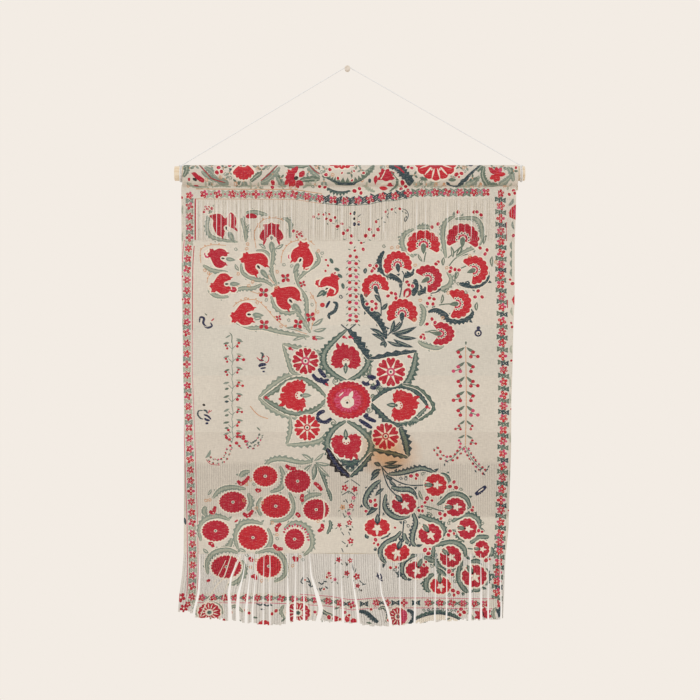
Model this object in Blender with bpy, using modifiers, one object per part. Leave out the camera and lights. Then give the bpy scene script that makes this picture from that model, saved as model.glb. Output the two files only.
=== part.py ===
# Printed wall hanging of woven cotton on a round dowel, with a warp fringe, a hanging cord and a wall peg

import math

import bmesh
import bpy
from mathutils import Vector

MM = 0.001
OBJECT_NAME = "suzani_wall_hanging"

# Frame, in millimetres: the origin is the centre of the peg's flat back face, +X runs along
# the dowel, +Z is up, and the wall is the plane Y = 0 behind everything.

# Peg: a turned wooden peg with a flange on the wall, a thin shank and a rounded head.
PEG_FLANGE_RADIUS = 3.5
PEG_FLANGE_DEPTH = 1.5
PEG_SHANK_RADIUS = 2.0
PEG_SHANK_END = 10.5
PEG_HEAD_RADIUS = 3.65
PEG_HEAD_END = 13.5
PEG_HEAD_EDGE = 1.0
PEG_HEAD_DISH = 0.4
PEG_STEPS = 32

# Dowel: three quarters of an inch across and eighteen inches long.
DOWEL_RADIUS = 9.5
DOWEL_LENGTH = 457.0
DOWEL_CENTRE = (3.0, -12.5, -137.7)
DOWEL_EDGE_ROUND = 1.2
DOWEL_SIDES = 48

# Cord: tied round the dowel outside each end of the sleeve, and laid over the peg's shank.
CORD_RADIUS = 0.6
CORD_CLEARANCE = 0.65
CORD_TURNS = 2
CORD_TURN_PITCH = 1.7
CORD_POINTS_PER_TURN = 18
CORD_LEFT_X = -215.8
CORD_RIGHT_X = 225.2
CORD_ON_PEG_Y = -6.0
CORD_PEG_RADIUS = 3.0
CORD_RISE_RADIUS = 3.0
CORD_LEAVE_ANGLE = 105.0

# Cloth: one length of cloth, folded back over the dowel and sewn to itself under it.
CLOTH_THICKNESS = 1.2
SLEEVE_RADIUS = 10.6
SLEEVE_DROP = 15.6
SLEEVE_CLOSE_ANGLE = 75.0
SLEEVE_ARC_STEPS = 12
SLEEVE_SIDE_STEPS = 5
SEAM_DROP = 16.7
SEAM_HALF_GAP = 1.05
PANEL_HALF_GAP = 0.85
PANEL_START_DROP = 19.0
FLAP_END_DROP = 23.0
CLOTH_BOTTOM = -630.4
CLOTH_COLUMNS = 24
PANEL_ROWS = 34
SWELL_START = -156.0
SWELL_FULL = -230.0

# Side edges of the cloth: height, left edge, right edge.
CLOTH_EDGES = (
    (-125.3, -213.5, 222.6),
    (-151.4, -215.5, 222.0),
    (-154.0, -216.4, 220.8),
    (-159.2, -216.8, 220.3),
    (-191.8, -216.6, 219.8),
    (-231.0, -216.4, 218.3),
    (-302.8, -215.8, 218.1),
    (-341.9, -215.1, 216.4),
    (-394.1, -214.3, 215.3),
    (-433.3, -213.2, 213.9),
    (-498.5, -213.0, 213.5),
    (-563.8, -213.0, 211.2),
    (-602.9, -213.2, 210.1),
    (-633.6, -213.4, 206.6),
    (-662.9, -215.8, 205.2),
    (-686.4, -219.1, 204.4),
    (-706.0, -220.8, 203.4),
    (-722.0, -221.0, 203.0),
)

# Soft vertical swells of the hanging cloth: centre, half width, sideways lean over the
# drop, height of the swell at the sleeve and at the hem (forward is positive).
SWELLS = (
    (-172.0, 42.0, -14.0, 0.6, 3.2),
    (-88.0, 50.0, 10.0, -0.8, -2.6),
    (8.0, 58.0, 4.0, 0.9, 2.8),
    (104.0, 46.0, 16.0, -0.6, -2.4),
    (176.0, 38.0, -12.0, 0.5, 2.6),
)

# Fringe: the warp left unwoven below the cloth, standing in one narrow woven strip.
FRINGE_THICKNESS = 1.4
FRINGE_TOP = -630.8
FRINGE_ROOT = -633.6
STRAND_PITCH = 2.9
STRAND_SHARE = 0.78
STRAND_LEVELS = (-633.6, -648.0, -662.9, -674.6, -686.4, -706.0)

# Slits between the locks of the fringe. Place of the slit at the root, at the upper third,
# the middle, the lower third and the tips, then its opening at the last four of them.
SLITS = (
    (-193.4, -192.6, -194.2, -199.3, -200.8, 2.0, 2.8, 3.2, 3.6),
    (-139.6, -151.4, -154.6, -153.2, -153.0, 2.2, 3.4, 4.6, 4.8),
    (-131.7, -136.2, -142.2, -143.4, -142.8, 1.4, 3.6, 4.6, 4.6),
    (-124.5, -127.6, -130.0, -132.0, -132.2, 0.8, 2.2, 3.4, 3.9),
    (-117.3, -119.8, -122.0, -123.8, -123.8, 0.8, 1.4, 2.2, 2.6),
    (-108.8, -109.4, -110.1, -110.1, -109.9, 0.8, 1.0, 1.3, 1.6),
    (-101.0, -101.0, -101.4, -101.4, -101.1, 0.8, 1.0, 1.3, 1.6),
    (-78.8, -78.3, -77.8, -77.8, -77.8, 0.8, 1.8, 4.2, 5.5),
    (-67.1, -67.6, -68.1, -68.6, -68.6, 0.8, 1.2, 3.1, 4.2),
    (-57.9, -57.4, -56.9, -56.6, -56.6, 0.8, 1.2, 2.3, 2.9),
    (-49.6, -47.3, -39.9, -34.4, -38.7, 2.2, 5.0, 6.0, 6.0),
    (6.0, 6.3, 9.7, 13.0, 14.6, 0.8, 2.1, 2.9, 3.1),
    (41.2, 42.0, 44.6, 52.0, 56.1, 0.8, 1.8, 3.1, 3.9),
    (67.3, 67.9, 68.6, 68.9, 69.2, 0.8, 1.0, 1.4, 1.8),
    (88.9, 88.7, 88.5, 88.2, 87.7, 0.8, 1.3, 2.1, 2.6),
    (115.6, 115.4, 114.8, 114.3, 114.1, 0.8, 1.0, 1.6, 2.1),
    (129.5, 129.7, 129.7, 129.5, 129.2, 0.8, 1.2, 1.7, 2.2),
    (160.3, 160.3, 160.0, 160.0, 159.7, 2.6, 3.4, 3.9, 4.4),
    (173.8, 174.1, 174.3, 174.3, 174.6, 1.0, 1.8, 2.6, 3.1),
    (184.0, 183.7, 183.5, 183.5, 183.7, 0.8, 1.3, 2.0, 2.3),
    (198.6, 199.4, 200.2, 200.7, 200.4, 0.8, 1.4, 1.8, 2.3),
)
SLIT_LEVELS = (-633.6, -662.9, -686.4, -706.0, -722.0)
ROOT_OPENING = 0.7

# Lower end of the fringe: place along the hem, height of the tips.
FRINGE_TIPS = (
    (-221.0, -708.6),
    (-205.0, -708.6),
    (-200.0, -717.1),
    (-169.0, -717.8),
    (-158.0, -720.4),
    (-147.0, -720.4),
    (-138.0, -723.6),
    (-121.0, -725.8),
    (-104.0, -726.9),
    (-85.0, -727.4),
    (-74.0, -723.6),
    (-59.0, -721.0),
    (-50.0, -719.7),
    (-36.0, -721.7),
    (-15.0, -723.0),
    (1.0, -723.0),
    (23.0, -726.2),
    (41.0, -728.5),
    (63.0, -727.4),
    (84.0, -725.6),
    (101.0, -723.0),
    (121.0, -721.9),
    (138.0, -721.0),
    (153.0, -719.7),
    (189.0, -719.7),
    (203.0, -719.1),
)


def clear_scene():
    for obj in list(bpy.data.objects):
        bpy.data.objects.remove(obj, do_unlink=True)


def make_collection(name):
    collection = bpy.data.collections.new(name)
    bpy.context.scene.collection.children.link(collection)
    return collection


def make_material(name, colour, roughness):
    material = bpy.data.materials.new(name)
    material.use_nodes = True
    shader = material.node_tree.nodes["Principled BSDF"]
    shader.inputs["Base Color"].default_value = (*colour, 1.0)
    shader.inputs["Roughness"].default_value = roughness
    return material


def add_object(name, data, collection, material):
    obj = bpy.data.objects.new(name, data)
    collection.objects.link(obj)
    data.materials.append(material)
    return obj


def interpolate(rows, key, column):
    """Value of a table column at this key; the first column runs up or down."""
    ordered = sorted(rows, key=lambda row: row[0])
    if key <= ordered[0][0]:
        return ordered[0][column]
    for low, high in zip(ordered, ordered[1:]):
        if key <= high[0]:
            share = (key - low[0]) / (high[0] - low[0])
            return low[column] + share * (high[column] - low[column])
    return ordered[-1][column]


def smooth_step(value):
    value = min(max(value, 0.0), 1.0)
    return value * value * (3.0 - 2.0 * value)


def panel_y(x, z):
    """Depth of the middle of the hanging cloth: gentle swells that grow towards the hem."""
    depth = DOWEL_CENTRE[1] - PANEL_HALF_GAP
    drop = (SWELL_START - z) / (SWELL_START - FRINGE_ROOT)
    growth = smooth_step((SWELL_START - z) / (SWELL_START - SWELL_FULL))
    for centre, half_width, lean, at_sleeve, at_hem in SWELLS:
        height = at_sleeve + (at_hem - at_sleeve) * max(drop, 0.0)
        offset = (x - centre - lean * drop) / half_width
        depth -= growth * height * math.exp(-offset * offset)
    return depth


def sleeve_section():
    """(offset in Y, offset in Z, side) from the dowel's axis, from the flap's end over the top."""
    close = math.radians(SLEEVE_CLOSE_ANGLE)
    reach = SLEEVE_RADIUS - PANEL_HALF_GAP
    back = [(PANEL_HALF_GAP, -FLAP_END_DROP), (PANEL_HALF_GAP, -PANEL_START_DROP)]
    back.append((SEAM_HALF_GAP, -SEAM_DROP))
    for step in range(SLEEVE_SIDE_STEPS):
        angle = close * (1.0 - step / SLEEVE_SIDE_STEPS)
        across = PANEL_HALF_GAP + reach * math.cos(angle)
        back.append((across, -SLEEVE_DROP * math.sin(angle)))
    front = [(-across, down) for across, down in reversed(back[1:])]
    over = []
    for step in range(SLEEVE_ARC_STEPS + 1):
        angle = math.pi * step / SLEEVE_ARC_STEPS
        over.append((SLEEVE_RADIUS * math.cos(angle), SLEEVE_RADIUS * math.sin(angle)))
    return back + over + front


def cloth_rows():
    """(offset in Y or None on the panel, height) of every row of the cloth, flap to hem."""
    rows = [(across, DOWEL_CENTRE[2] + up) for across, up in sleeve_section()]
    start = rows[-1][1]
    for row in range(1, PANEL_ROWS + 1):
        rows.append((None, start + (CLOTH_BOTTOM - start) * row / PANEL_ROWS))
    return rows


def edge_places(count, z):
    left = interpolate(CLOTH_EDGES, z, 1)
    right = interpolate(CLOTH_EDGES, z, 2)
    return [left + (right - left) * column / count for column in range(count + 1)]


def grid_mesh(name, columns, rows, place, is_gap=None):
    """A grid of quads, less those that is_gap(column, row) names, with points at place(column, row)."""
    shape = bmesh.new()
    bmesh.ops.create_grid(shape, x_segments=columns, y_segments=rows, size=0.5)
    if is_gap:
        gaps = []
        for face in shape.faces:
            middle = face.calc_center_median()
            column = math.floor((middle.x + 0.5) * columns)
            row = math.floor((0.5 - middle.y) * rows)
            if is_gap(column, row):
                gaps.append(face)
        bmesh.ops.delete(shape, geom=gaps, context="FACES")
    for vertex in shape.verts:
        column = round((vertex.co.x + 0.5) * columns)
        row = round((0.5 - vertex.co.y) * rows)
        vertex.co = place(column, row)
    mesh = bpy.data.meshes.new(name)
    shape.to_mesh(mesh)
    shape.free()
    return mesh


def add_thickness(obj, thickness):
    solid = obj.modifiers.new("thickness", "SOLIDIFY")
    solid.thickness = thickness * MM
    solid.offset = 0.0
    solid.use_even_offset = True
    solid.use_quality_normals = True


def build_cloth(collection, material):
    rows = cloth_rows()

    def place(column, row):
        across, z = rows[row]
        x = edge_places(CLOTH_COLUMNS, z)[column]
        y = panel_y(x, z) if across is None else DOWEL_CENTRE[1] + across
        return Vector((x, y, z)) * MM

    mesh = grid_mesh("cloth", CLOTH_COLUMNS, len(rows) - 1, place)
    obj = add_object("cloth", mesh, collection, material)
    add_thickness(obj, CLOTH_THICKNESS)
    return obj


def slit_edges(z):
    """Left and right side of each lock of strands at this height."""
    key = max(min(z, SLIT_LEVELS[0]), SLIT_LEVELS[-1])
    sides = [interpolate(CLOTH_EDGES, key, 1)]
    for slit in SLITS:
        places = tuple(zip(SLIT_LEVELS, slit[:5]))
        openings = tuple(zip(SLIT_LEVELS, (ROOT_OPENING,) + slit[5:]))
        centre = interpolate(places, key, 1)
        half = interpolate(openings, key, 1) / 2.0
        sides += [centre - half, centre + half]
    sides.append(interpolate(CLOTH_EDGES, key, 2))
    return list(zip(sides[0::2], sides[1::2]))


def strand_counts():
    return [max(1, round((right - left) / STRAND_PITCH)) for left, right in slit_edges(FRINGE_ROOT)]


def strand_sides(z, counts):
    """Left and right side of every strand at this height, from left to right."""
    sides = []
    for (left, right), count in zip(slit_edges(z), counts):
        pitch = (right - left) / count
        gap = max(pitch * (1.0 - STRAND_SHARE), 0.4)
        for strand in range(count):
            start = left + pitch * strand
            sides += [start + gap / 2.0, start + pitch - gap / 2.0]
    return sides


def build_fringe(collection, material):
    counts = strand_counts()
    level_sides = [strand_sides(z, counts) for z in STRAND_LEVELS]
    last = len(level_sides[0]) - 1
    tips = strand_sides(SLIT_LEVELS[-1], counts)

    def place(column, row):
        if row == 0:
            x, z = level_sides[0][column], FRINGE_TOP
        elif row <= len(STRAND_LEVELS):
            x, z = level_sides[row - 1][column], STRAND_LEVELS[row - 1]
        else:
            x = tips[column]
            pair = column - column % 2
            middle = (tips[pair] + tips[pair + 1]) / 2.0
            z = interpolate(FRINGE_TIPS, middle, 1)
        return Vector((x, panel_y(x, z), z)) * MM

    def is_gap(column, row):
        return row > 0 and column % 2 == 1

    mesh = grid_mesh("fringe", last, len(STRAND_LEVELS) + 1, place, is_gap)
    obj = add_object("fringe", mesh, collection, material)
    add_thickness(obj, FRINGE_THICKNESS)
    return obj


def build_dowel(collection, material):
    shape = bmesh.new()
    bmesh.ops.create_cone(
        shape,
        cap_ends=True,
        segments=DOWEL_SIDES,
        radius1=DOWEL_RADIUS * MM,
        radius2=DOWEL_RADIUS * MM,
        depth=DOWEL_LENGTH * MM,
    )
    mesh = bpy.data.meshes.new("dowel")
    shape.to_mesh(mesh)
    shape.free()
    obj = add_object("dowel", mesh, collection, material)
    obj.rotation_euler = (0.0, math.pi / 2.0, 0.0)
    obj.location = Vector(DOWEL_CENTRE) * MM
    rounding = obj.modifiers.new("end rounding", "BEVEL")
    rounding.width = DOWEL_EDGE_ROUND * MM
    rounding.segments = 3
    rounding.limit_method = "ANGLE"
    rounding.angle_limit = math.radians(60.0)
    return obj


def build_peg(collection, material):
    dish = PEG_HEAD_END - PEG_HEAD_DISH
    profile = [
        (0.0, 0.0),
        (PEG_FLANGE_RADIUS, 0.0),
        (PEG_FLANGE_RADIUS, PEG_FLANGE_DEPTH),
        (PEG_SHANK_RADIUS, PEG_FLANGE_DEPTH + 0.8),
        (PEG_SHANK_RADIUS, PEG_SHANK_END - 0.8),
        (PEG_HEAD_RADIUS, PEG_SHANK_END),
    ]
    for step in range(5):
        angle = math.radians(90.0) * step / 4
        across = PEG_HEAD_RADIUS - PEG_HEAD_EDGE * (1.0 - math.cos(angle))
        along = PEG_HEAD_END - PEG_HEAD_EDGE * (1.0 - math.sin(angle))
        profile.append((across, along))
    profile += [(PEG_HEAD_RADIUS * 0.4, dish), (0.0, dish)]
    mesh = bpy.data.meshes.new("peg")
    points = [(across * MM, 0.0, along * MM) for across, along in profile]
    edges = [(index, index + 1) for index in range(len(points) - 1)]
    mesh.from_pydata(points, edges, [])
    obj = add_object("peg", mesh, collection, material)
    turning = obj.modifiers.new("turning", "SCREW")
    turning.steps = PEG_STEPS
    turning.render_steps = PEG_STEPS
    turning.use_merge_vertices = True
    turning.merge_threshold = 0.00001
    turning.use_normal_calculate = True
    obj.rotation_euler = (math.pi / 2.0, 0.0, 0.0)
    return obj


def cord_turns(x_start, outward):
    """Points of the turns round the dowel, from the tucked end to where the cord rises."""
    radius = DOWEL_RADIUS + CORD_CLEARANCE + CORD_RADIUS
    count = CORD_TURNS * CORD_POINTS_PER_TURN
    points = []
    for step in range(count + 1):
        angle = math.radians(CORD_LEAVE_ANGLE + 360.0 * (count - step) / CORD_POINTS_PER_TURN)
        x = x_start + outward * CORD_TURN_PITCH * (count - step) / CORD_POINTS_PER_TURN
        y = DOWEL_CENTRE[1] + radius * math.cos(angle)
        z = DOWEL_CENTRE[2] + radius * math.sin(angle)
        points.append(Vector((x, y, z)))
    return points


def cord_rise(start, heading, target):
    """Points of the bend that turns the cord from round the dowel to up to the peg."""
    end = start
    for _ in range(4):
        aim = (target - end).normalized()
        side = (aim - aim.dot(heading) * heading).normalized()
        turn = math.acos(aim.dot(heading))
        points = []
        for step in range(1, 4):
            angle = turn * step / 3
            along = CORD_RISE_RADIUS * math.sin(angle)
            across = CORD_RISE_RADIUS * (1.0 - math.cos(angle))
            points.append(start + heading * along + side * across)
        end = points[-1]
    return points


def build_cord(collection, material):
    leave = math.radians(CORD_LEAVE_ANGLE)
    heading = Vector((0.0, math.sin(leave), -math.cos(leave)))
    slope = math.radians(31.0)
    over_peg = []
    for angle in (math.pi / 2 + slope, math.pi / 2, math.pi / 2 - slope):
        x = CORD_PEG_RADIUS * math.cos(angle)
        z = CORD_PEG_RADIUS * math.sin(angle)
        over_peg.append(Vector((x, CORD_ON_PEG_Y, z)))
    left = cord_turns(CORD_LEFT_X, -1.0)
    right = cord_turns(CORD_RIGHT_X, 1.0)
    path = left + cord_rise(left[-1], heading, over_peg[0]) + over_peg
    path += list(reversed(cord_rise(right[-1], heading, over_peg[2])))
    path += list(reversed(right))
    curve = bpy.data.curves.new("cord", "CURVE")
    curve.dimensions = "3D"
    curve.bevel_depth = CORD_RADIUS * MM
    curve.bevel_resolution = 2
    curve.use_fill_caps = True
    spline = curve.splines.new("POLY")
    spline.points.add(len(path) - 1)
    for point, place in zip(spline.points, path):
        point.co = (*(place * MM), 1.0)
    return add_object("cord", curve, collection, material)


def main():
    clear_scene()
    collection = make_collection(OBJECT_NAME)
    cotton = make_material("woven cotton", (0.62, 0.57, 0.50), 0.9)
    thread = make_material("cotton warp threads", (0.64, 0.59, 0.52), 0.9)
    birch = make_material("sanded dowel wood", (0.75, 0.60, 0.44), 0.6)
    beech = make_material("turned peg wood", (0.72, 0.62, 0.50), 0.5)
    string = make_material("twisted cotton cord", (0.80, 0.78, 0.74), 0.85)
    build_cloth(collection, cotton)
    build_fringe(collection, thread)
    build_dowel(collection, birch)
    build_peg(collection, beech)
    build_cord(collection, string)


main()
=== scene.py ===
import math
import random

import bpy
import numpy as np
from bpy.props import FloatProperty, FloatVectorProperty, IntProperty, PointerProperty
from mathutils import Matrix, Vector
from mathutils.geometry import delaunay_2d_cdt


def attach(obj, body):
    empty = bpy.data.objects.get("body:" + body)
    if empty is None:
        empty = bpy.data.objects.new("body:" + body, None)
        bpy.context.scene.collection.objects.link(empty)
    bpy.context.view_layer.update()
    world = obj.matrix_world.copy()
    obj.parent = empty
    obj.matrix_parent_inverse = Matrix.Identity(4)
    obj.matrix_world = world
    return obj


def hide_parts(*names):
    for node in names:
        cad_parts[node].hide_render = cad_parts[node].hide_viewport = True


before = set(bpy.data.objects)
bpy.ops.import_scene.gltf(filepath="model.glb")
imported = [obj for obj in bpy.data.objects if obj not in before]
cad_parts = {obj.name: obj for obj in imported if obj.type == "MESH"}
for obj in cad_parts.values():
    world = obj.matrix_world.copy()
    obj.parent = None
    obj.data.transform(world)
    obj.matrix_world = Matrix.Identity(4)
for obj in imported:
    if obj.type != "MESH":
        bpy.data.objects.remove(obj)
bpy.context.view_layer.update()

bl_info = {
    "name": "Printed suzani wall hanging",
    "version": (1, 0, 0),
    "blender": (4, 5, 0),
    "location": "View3D > Sidebar > Hanging",
    "description": "Dresses the wall hanging: printed cloth, bare warp bands, fringe, dowel, cord and peg",
    "category": "Object",
}

MM = 0.001

# The drawing is laid out in units of 1.305 mm, x to the right and y down. Its zero is far
# above and left of the cloth, and the peg's centre is at the place below.
UNIT = 1.305
PEG_PLACE = (347.4, 68.0)

# Sizes that repeat the solids, in millimetres.
DOWEL_CENTRE = (3.0, -12.5, -137.7)
DOWEL_RADIUS = 9.5
SLEEVE_RADIUS = 10.6
SLEEVE_DROP = 15.6
SLEEVE_CLOSE_ANGLE = 75.0
SEAM_DROP = 16.7
SEAM_HALF_GAP = 1.05
PANEL_HALF_GAP = 0.85
PANEL_START_DROP = 19.0
FLAP_END_DROP = 23.0
FRINGE_ROOT = -633.6
SWELL_START = -156.0
SWELL_FULL = -230.0
SHEET_HALF = 0.45

# Soft vertical swells: centre, half width, sideways lean, height at the sleeve and at the hem.
SWELLS = (
    (-172.0, 42.0, -14.0, 0.6, 3.2),
    (-88.0, 50.0, 10.0, -0.8, -2.6),
    (8.0, 58.0, 4.0, 0.9, 2.8),
    (104.0, 46.0, 16.0, -0.6, -2.4),
    (176.0, 38.0, -12.0, 0.5, 2.6),
)

# Side edges of the cloth: height, left edge, right edge, in millimetres.
CLOTH_EDGES = (
    (-125.3, -213.5, 222.6),
    (-151.4, -215.5, 222.0),
    (-154.0, -216.4, 220.8),
    (-159.2, -216.8, 220.3),
    (-191.8, -216.6, 219.8),
    (-231.0, -216.4, 218.3),
    (-302.8, -215.8, 218.1),
    (-341.9, -215.1, 216.4),
    (-394.1, -214.3, 215.3),
    (-433.3, -213.2, 213.9),
    (-498.5, -213.0, 213.5),
    (-563.8, -213.0, 211.2),
    (-602.9, -213.2, 210.1),
    (-633.6, -213.4, 206.6),
    (-662.9, -215.8, 205.2),
    (-686.4, -219.1, 204.4),
    (-706.0, -220.8, 203.4),
    (-722.0, -221.0, 203.0),
)

# Slits between the locks of the fringe: places at five heights, openings at the last four.
SLITS = (
    (-193.4, -192.6, -194.2, -199.3, -200.8, 2.0, 2.8, 3.2, 3.6),
    (-139.6, -151.4, -154.6, -153.2, -153.0, 2.2, 3.4, 4.6, 4.8),
    (-131.7, -136.2, -142.2, -143.4, -142.8, 1.4, 3.6, 4.6, 4.6),
    (-124.5, -127.6, -130.0, -132.0, -132.2, 0.8, 2.2, 3.4, 3.9),
    (-117.3, -119.8, -122.0, -123.8, -123.8, 0.8, 1.4, 2.2, 2.6),
    (-108.8, -109.4, -110.1, -110.1, -109.9, 0.8, 1.0, 1.3, 1.6),
    (-101.0, -101.0, -101.4, -101.4, -101.1, 0.8, 1.0, 1.3, 1.6),
    (-78.8, -78.3, -77.8, -77.8, -77.8, 0.8, 1.8, 4.2, 5.5),
    (-67.1, -67.6, -68.1, -68.6, -68.6, 0.8, 1.2, 3.1, 4.2),
    (-57.9, -57.4, -56.9, -56.6, -56.6, 0.8, 1.2, 2.3, 2.9),
    (-49.6, -47.3, -39.9, -34.4, -38.7, 2.2, 5.0, 6.0, 6.0),
    (-19.0, -18.8, -18.4, -18.0, -18.0, 0.6, 1.0, 1.5, 1.9),
    (-9.0, -8.4, -7.2, -6.0, -5.6, 0.6, 1.4, 2.4, 3.2),
    (6.0, 6.3, 9.7, 13.0, 14.6, 0.8, 2.1, 2.9, 3.1),
    (41.2, 42.0, 44.6, 52.0, 56.1, 0.8, 1.8, 3.1, 3.9),
    (67.3, 67.9, 68.6, 68.9, 69.2, 0.8, 1.0, 1.4, 1.8),
    (88.9, 88.7, 88.5, 88.2, 87.7, 0.8, 1.3, 2.1, 2.6),
    (115.6, 115.4, 114.8, 114.3, 114.1, 0.8, 1.0, 1.6, 2.1),
    (129.5, 129.7, 129.7, 129.5, 129.2, 0.8, 1.2, 1.7, 2.2),
    (160.3, 160.3, 160.0, 160.0, 159.7, 2.6, 3.4, 3.9, 4.4),
    (173.8, 174.1, 174.3, 174.3, 174.6, 1.0, 1.8, 2.6, 3.1),
    (184.0, 183.7, 183.5, 183.5, 183.7, 0.8, 1.3, 2.0, 2.3),
    (198.6, 199.4, 200.2, 200.7, 200.4, 0.8, 1.4, 1.8, 2.3),
)
SLIT_LEVELS = (-633.6, -662.9, -686.4, -706.0, -722.0)
STRAND_PITCH = 2.9
RIB_PITCH = STRAND_PITCH * MM
STRAND_LINES = (0.0, 0.28, 0.72, 1.0)

# Lower end of the fringe: place along the hem, height of the tips.
FRINGE_TIPS = (
    (-221.0, -708.6),
    (-205.0, -708.6),
    (-200.0, -717.1),
    (-169.0, -717.8),
    (-158.0, -720.4),
    (-147.0, -720.4),
    (-138.0, -723.6),
    (-121.0, -725.8),
    (-104.0, -726.9),
    (-85.0, -727.4),
    (-74.0, -723.6),
    (-59.0, -721.0),
    (-50.0, -719.7),
    (-36.0, -721.7),
    (-15.0, -723.0),
    (1.0, -723.0),
    (23.0, -726.2),
    (41.0, -728.5),
    (63.0, -727.4),
    (84.0, -725.6),
    (101.0, -723.0),
    (121.0, -721.9),
    (138.0, -721.0),
    (153.0, -719.7),
    (189.0, -719.7),
    (203.0, -719.1),
)

# Rows of the drawing where the cloth changes from plain weave to bare warp and back.
FLAP_ROW = 125.6
SLEEVE_WRAP_ROW = 160.0
SLEEVE_FOOT = 183.5
# Down to this row the sleeve and the strip just below its foot take the darker fine tone: painted shade of
# the roll and of the fold under the dowel.
SLEEVE_SHADE_END = 187.0
SLEEVE_ROWS = 36.0
OPEN_WARP_TOP = 199.0
OPEN_WARP_END = 240.6
COOL_TOP = 325.0
COOL_END = 375.5
FINE_TOP = 432.0
RIB_TOP = 463.0
RIB_END = 517.0
FRINGE_TOP = 553.5
STRIP_SEAMS = (232.7, 325.0, 417.2, 509.0)

# Ink colours, as printed on undyed cotton, and the undyed tones; the fine tone also paints shade on and
# under the sleeve, the thread tone highlight on the fringe.
INKS = {
    "ground": "#DED9CF",
    "cool": "#DBD8CF",
    "fine": "#D8D2C8",
    # Paler and cooler than the ground: painted highlight on the fringe strands and the pale gaps between
    # them.
    "thread": "#DEDCD8",
    "cream": "#EBE4D6",
    "crimson": "#B7253A",
    "scarlet": "#C42936",
    "rose": "#CD4A70",
    "mist": "#ABB1A2",
    "sage": "#87948A",
    "moss": "#66776B",
    "teal": "#4C645F",
    "slate": "#364A52",
    "navy": "#252C4F",
    "black": "#221D20",
    "ochre": "#CF9D78",
}
PLAIN_INKS = ("ground", "cool", "fine", "thread")
OTHER_COLOURS = {
    "stain": "#EDB988",
    "back": "#D9CDB8",
    "dowel_pale": "#EFE3CF",
    "dowel_dark": "#DBC4A2",
    "peg_pale": "#E9E2D9",
    "peg_dark": "#D3CABF",
    "cord_pale": "#F3F6FA",
    "cord_dark": "#E3E8EE",
    "surroundings": "#F3ECE4",
    "floor": "#EDE7DF",
}


def srgb(code):
    """Linear colour of an sRGB hex code."""
    channels = [int(code[index : index + 2], 16) / 255.0 for index in (1, 3, 5)]
    return [c / 12.92 if c <= 0.04045 else ((c + 0.055) / 1.055) ** 2.4 for c in channels]


def interpolate(rows, key, column):
    """Value of a table column at this key; the first column runs up or down."""
    ordered = sorted(rows, key=lambda row: row[0])
    if key <= ordered[0][0]:
        return ordered[0][column]
    for low, high in zip(ordered, ordered[1:]):
        if key <= high[0]:
            share = (key - low[0]) / (high[0] - low[0])
            return low[column] + share * (high[column] - low[column])
    return ordered[-1][column]


def smooth_step(value):
    """Eased share from 0 to 1."""
    value = min(max(value, 0.0), 1.0)
    return value * value * (3.0 - 2.0 * value)


def to_x(x):
    """Millimetres to the right of the peg, from the drawing."""
    return (x - PEG_PLACE[0]) * UNIT


def to_z(y):
    """Millimetres above the peg, from the drawing."""
    return (PEG_PLACE[1] - y) * UNIT


def to_drawing_x(x):
    """Place across the drawing, from millimetres."""
    return x / UNIT + PEG_PLACE[0]


def to_drawing_y(z):
    """Row of the drawing, from millimetres."""
    return PEG_PLACE[1] - z / UNIT


# ---------------------------------------------------------------- shape of the cloth


def panel_y(x, z):
    """Depth of the middle of the hanging cloth, in millimetres."""
    depth = DOWEL_CENTRE[1] - PANEL_HALF_GAP
    drop = (SWELL_START - z) / (SWELL_START - FRINGE_ROOT)
    growth = smooth_step((SWELL_START - z) / (SWELL_START - SWELL_FULL))
    for centre, half_width, lean, at_sleeve, at_hem in SWELLS:
        height = at_sleeve + (at_hem - at_sleeve) * max(drop, 0.0)
        offset = (x - centre - lean * drop) / half_width
        depth -= growth * height * math.exp(-offset * offset)
    return depth


def section_points():
    """(length from the panel's start, Y offset, Z offset) up the front, over and down the back."""
    close = math.radians(SLEEVE_CLOSE_ANGLE)
    reach = SLEEVE_RADIUS - PANEL_HALF_GAP
    side = [(PANEL_HALF_GAP, -PANEL_START_DROP), (SEAM_HALF_GAP, -SEAM_DROP)]
    for step in range(25):
        angle = close * (1.0 - step / 25)
        side.append((PANEL_HALF_GAP + reach * math.cos(angle), -SLEEVE_DROP * math.sin(angle)))
    over = []
    for step in range(49):
        angle = math.pi * (1.0 - step / 48)
        over.append((SLEEVE_RADIUS * math.cos(angle), SLEEVE_RADIUS * math.sin(angle)))
    path = [(-across, down) for across, down in side] + over + list(reversed(side))
    path.append((PANEL_HALF_GAP, -FLAP_END_DROP))
    length = 0.0
    rows = [(0.0, *path[0])]
    for before, after in zip(path, path[1:]):
        length += math.hypot(after[0] - before[0], after[1] - before[1])
        rows.append((length, *after))
    return rows


SECTION = section_points()
PANEL_ROW = PEG_PLACE[1] - (DOWEL_CENTRE[2] - PANEL_START_DROP) / UNIT


def section_at(length):
    """(Y offset, Z offset) from the dowel's centre at this length along the section."""
    length = min(max(length, 0.0), SECTION[-1][0])
    for low, high in zip(SECTION, SECTION[1:]):
        if length <= high[0]:
            share = (length - low[0]) / (high[0] - low[0])
            y = low[1] + share * (high[1] - low[1])
            z = low[2] + share * (high[2] - low[2])
            return y, z
    return SECTION[-1][1:]


def seen_row(y):
    """Row of the drawing that shows at this height on the front of the sleeve."""
    target = to_z(y) - DOWEL_CENTRE[2]
    for length, across, up in SECTION:
        if up >= target:
            return PANEL_ROW - length / UNIT
    return PANEL_ROW - SLEEVE_ROWS


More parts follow.
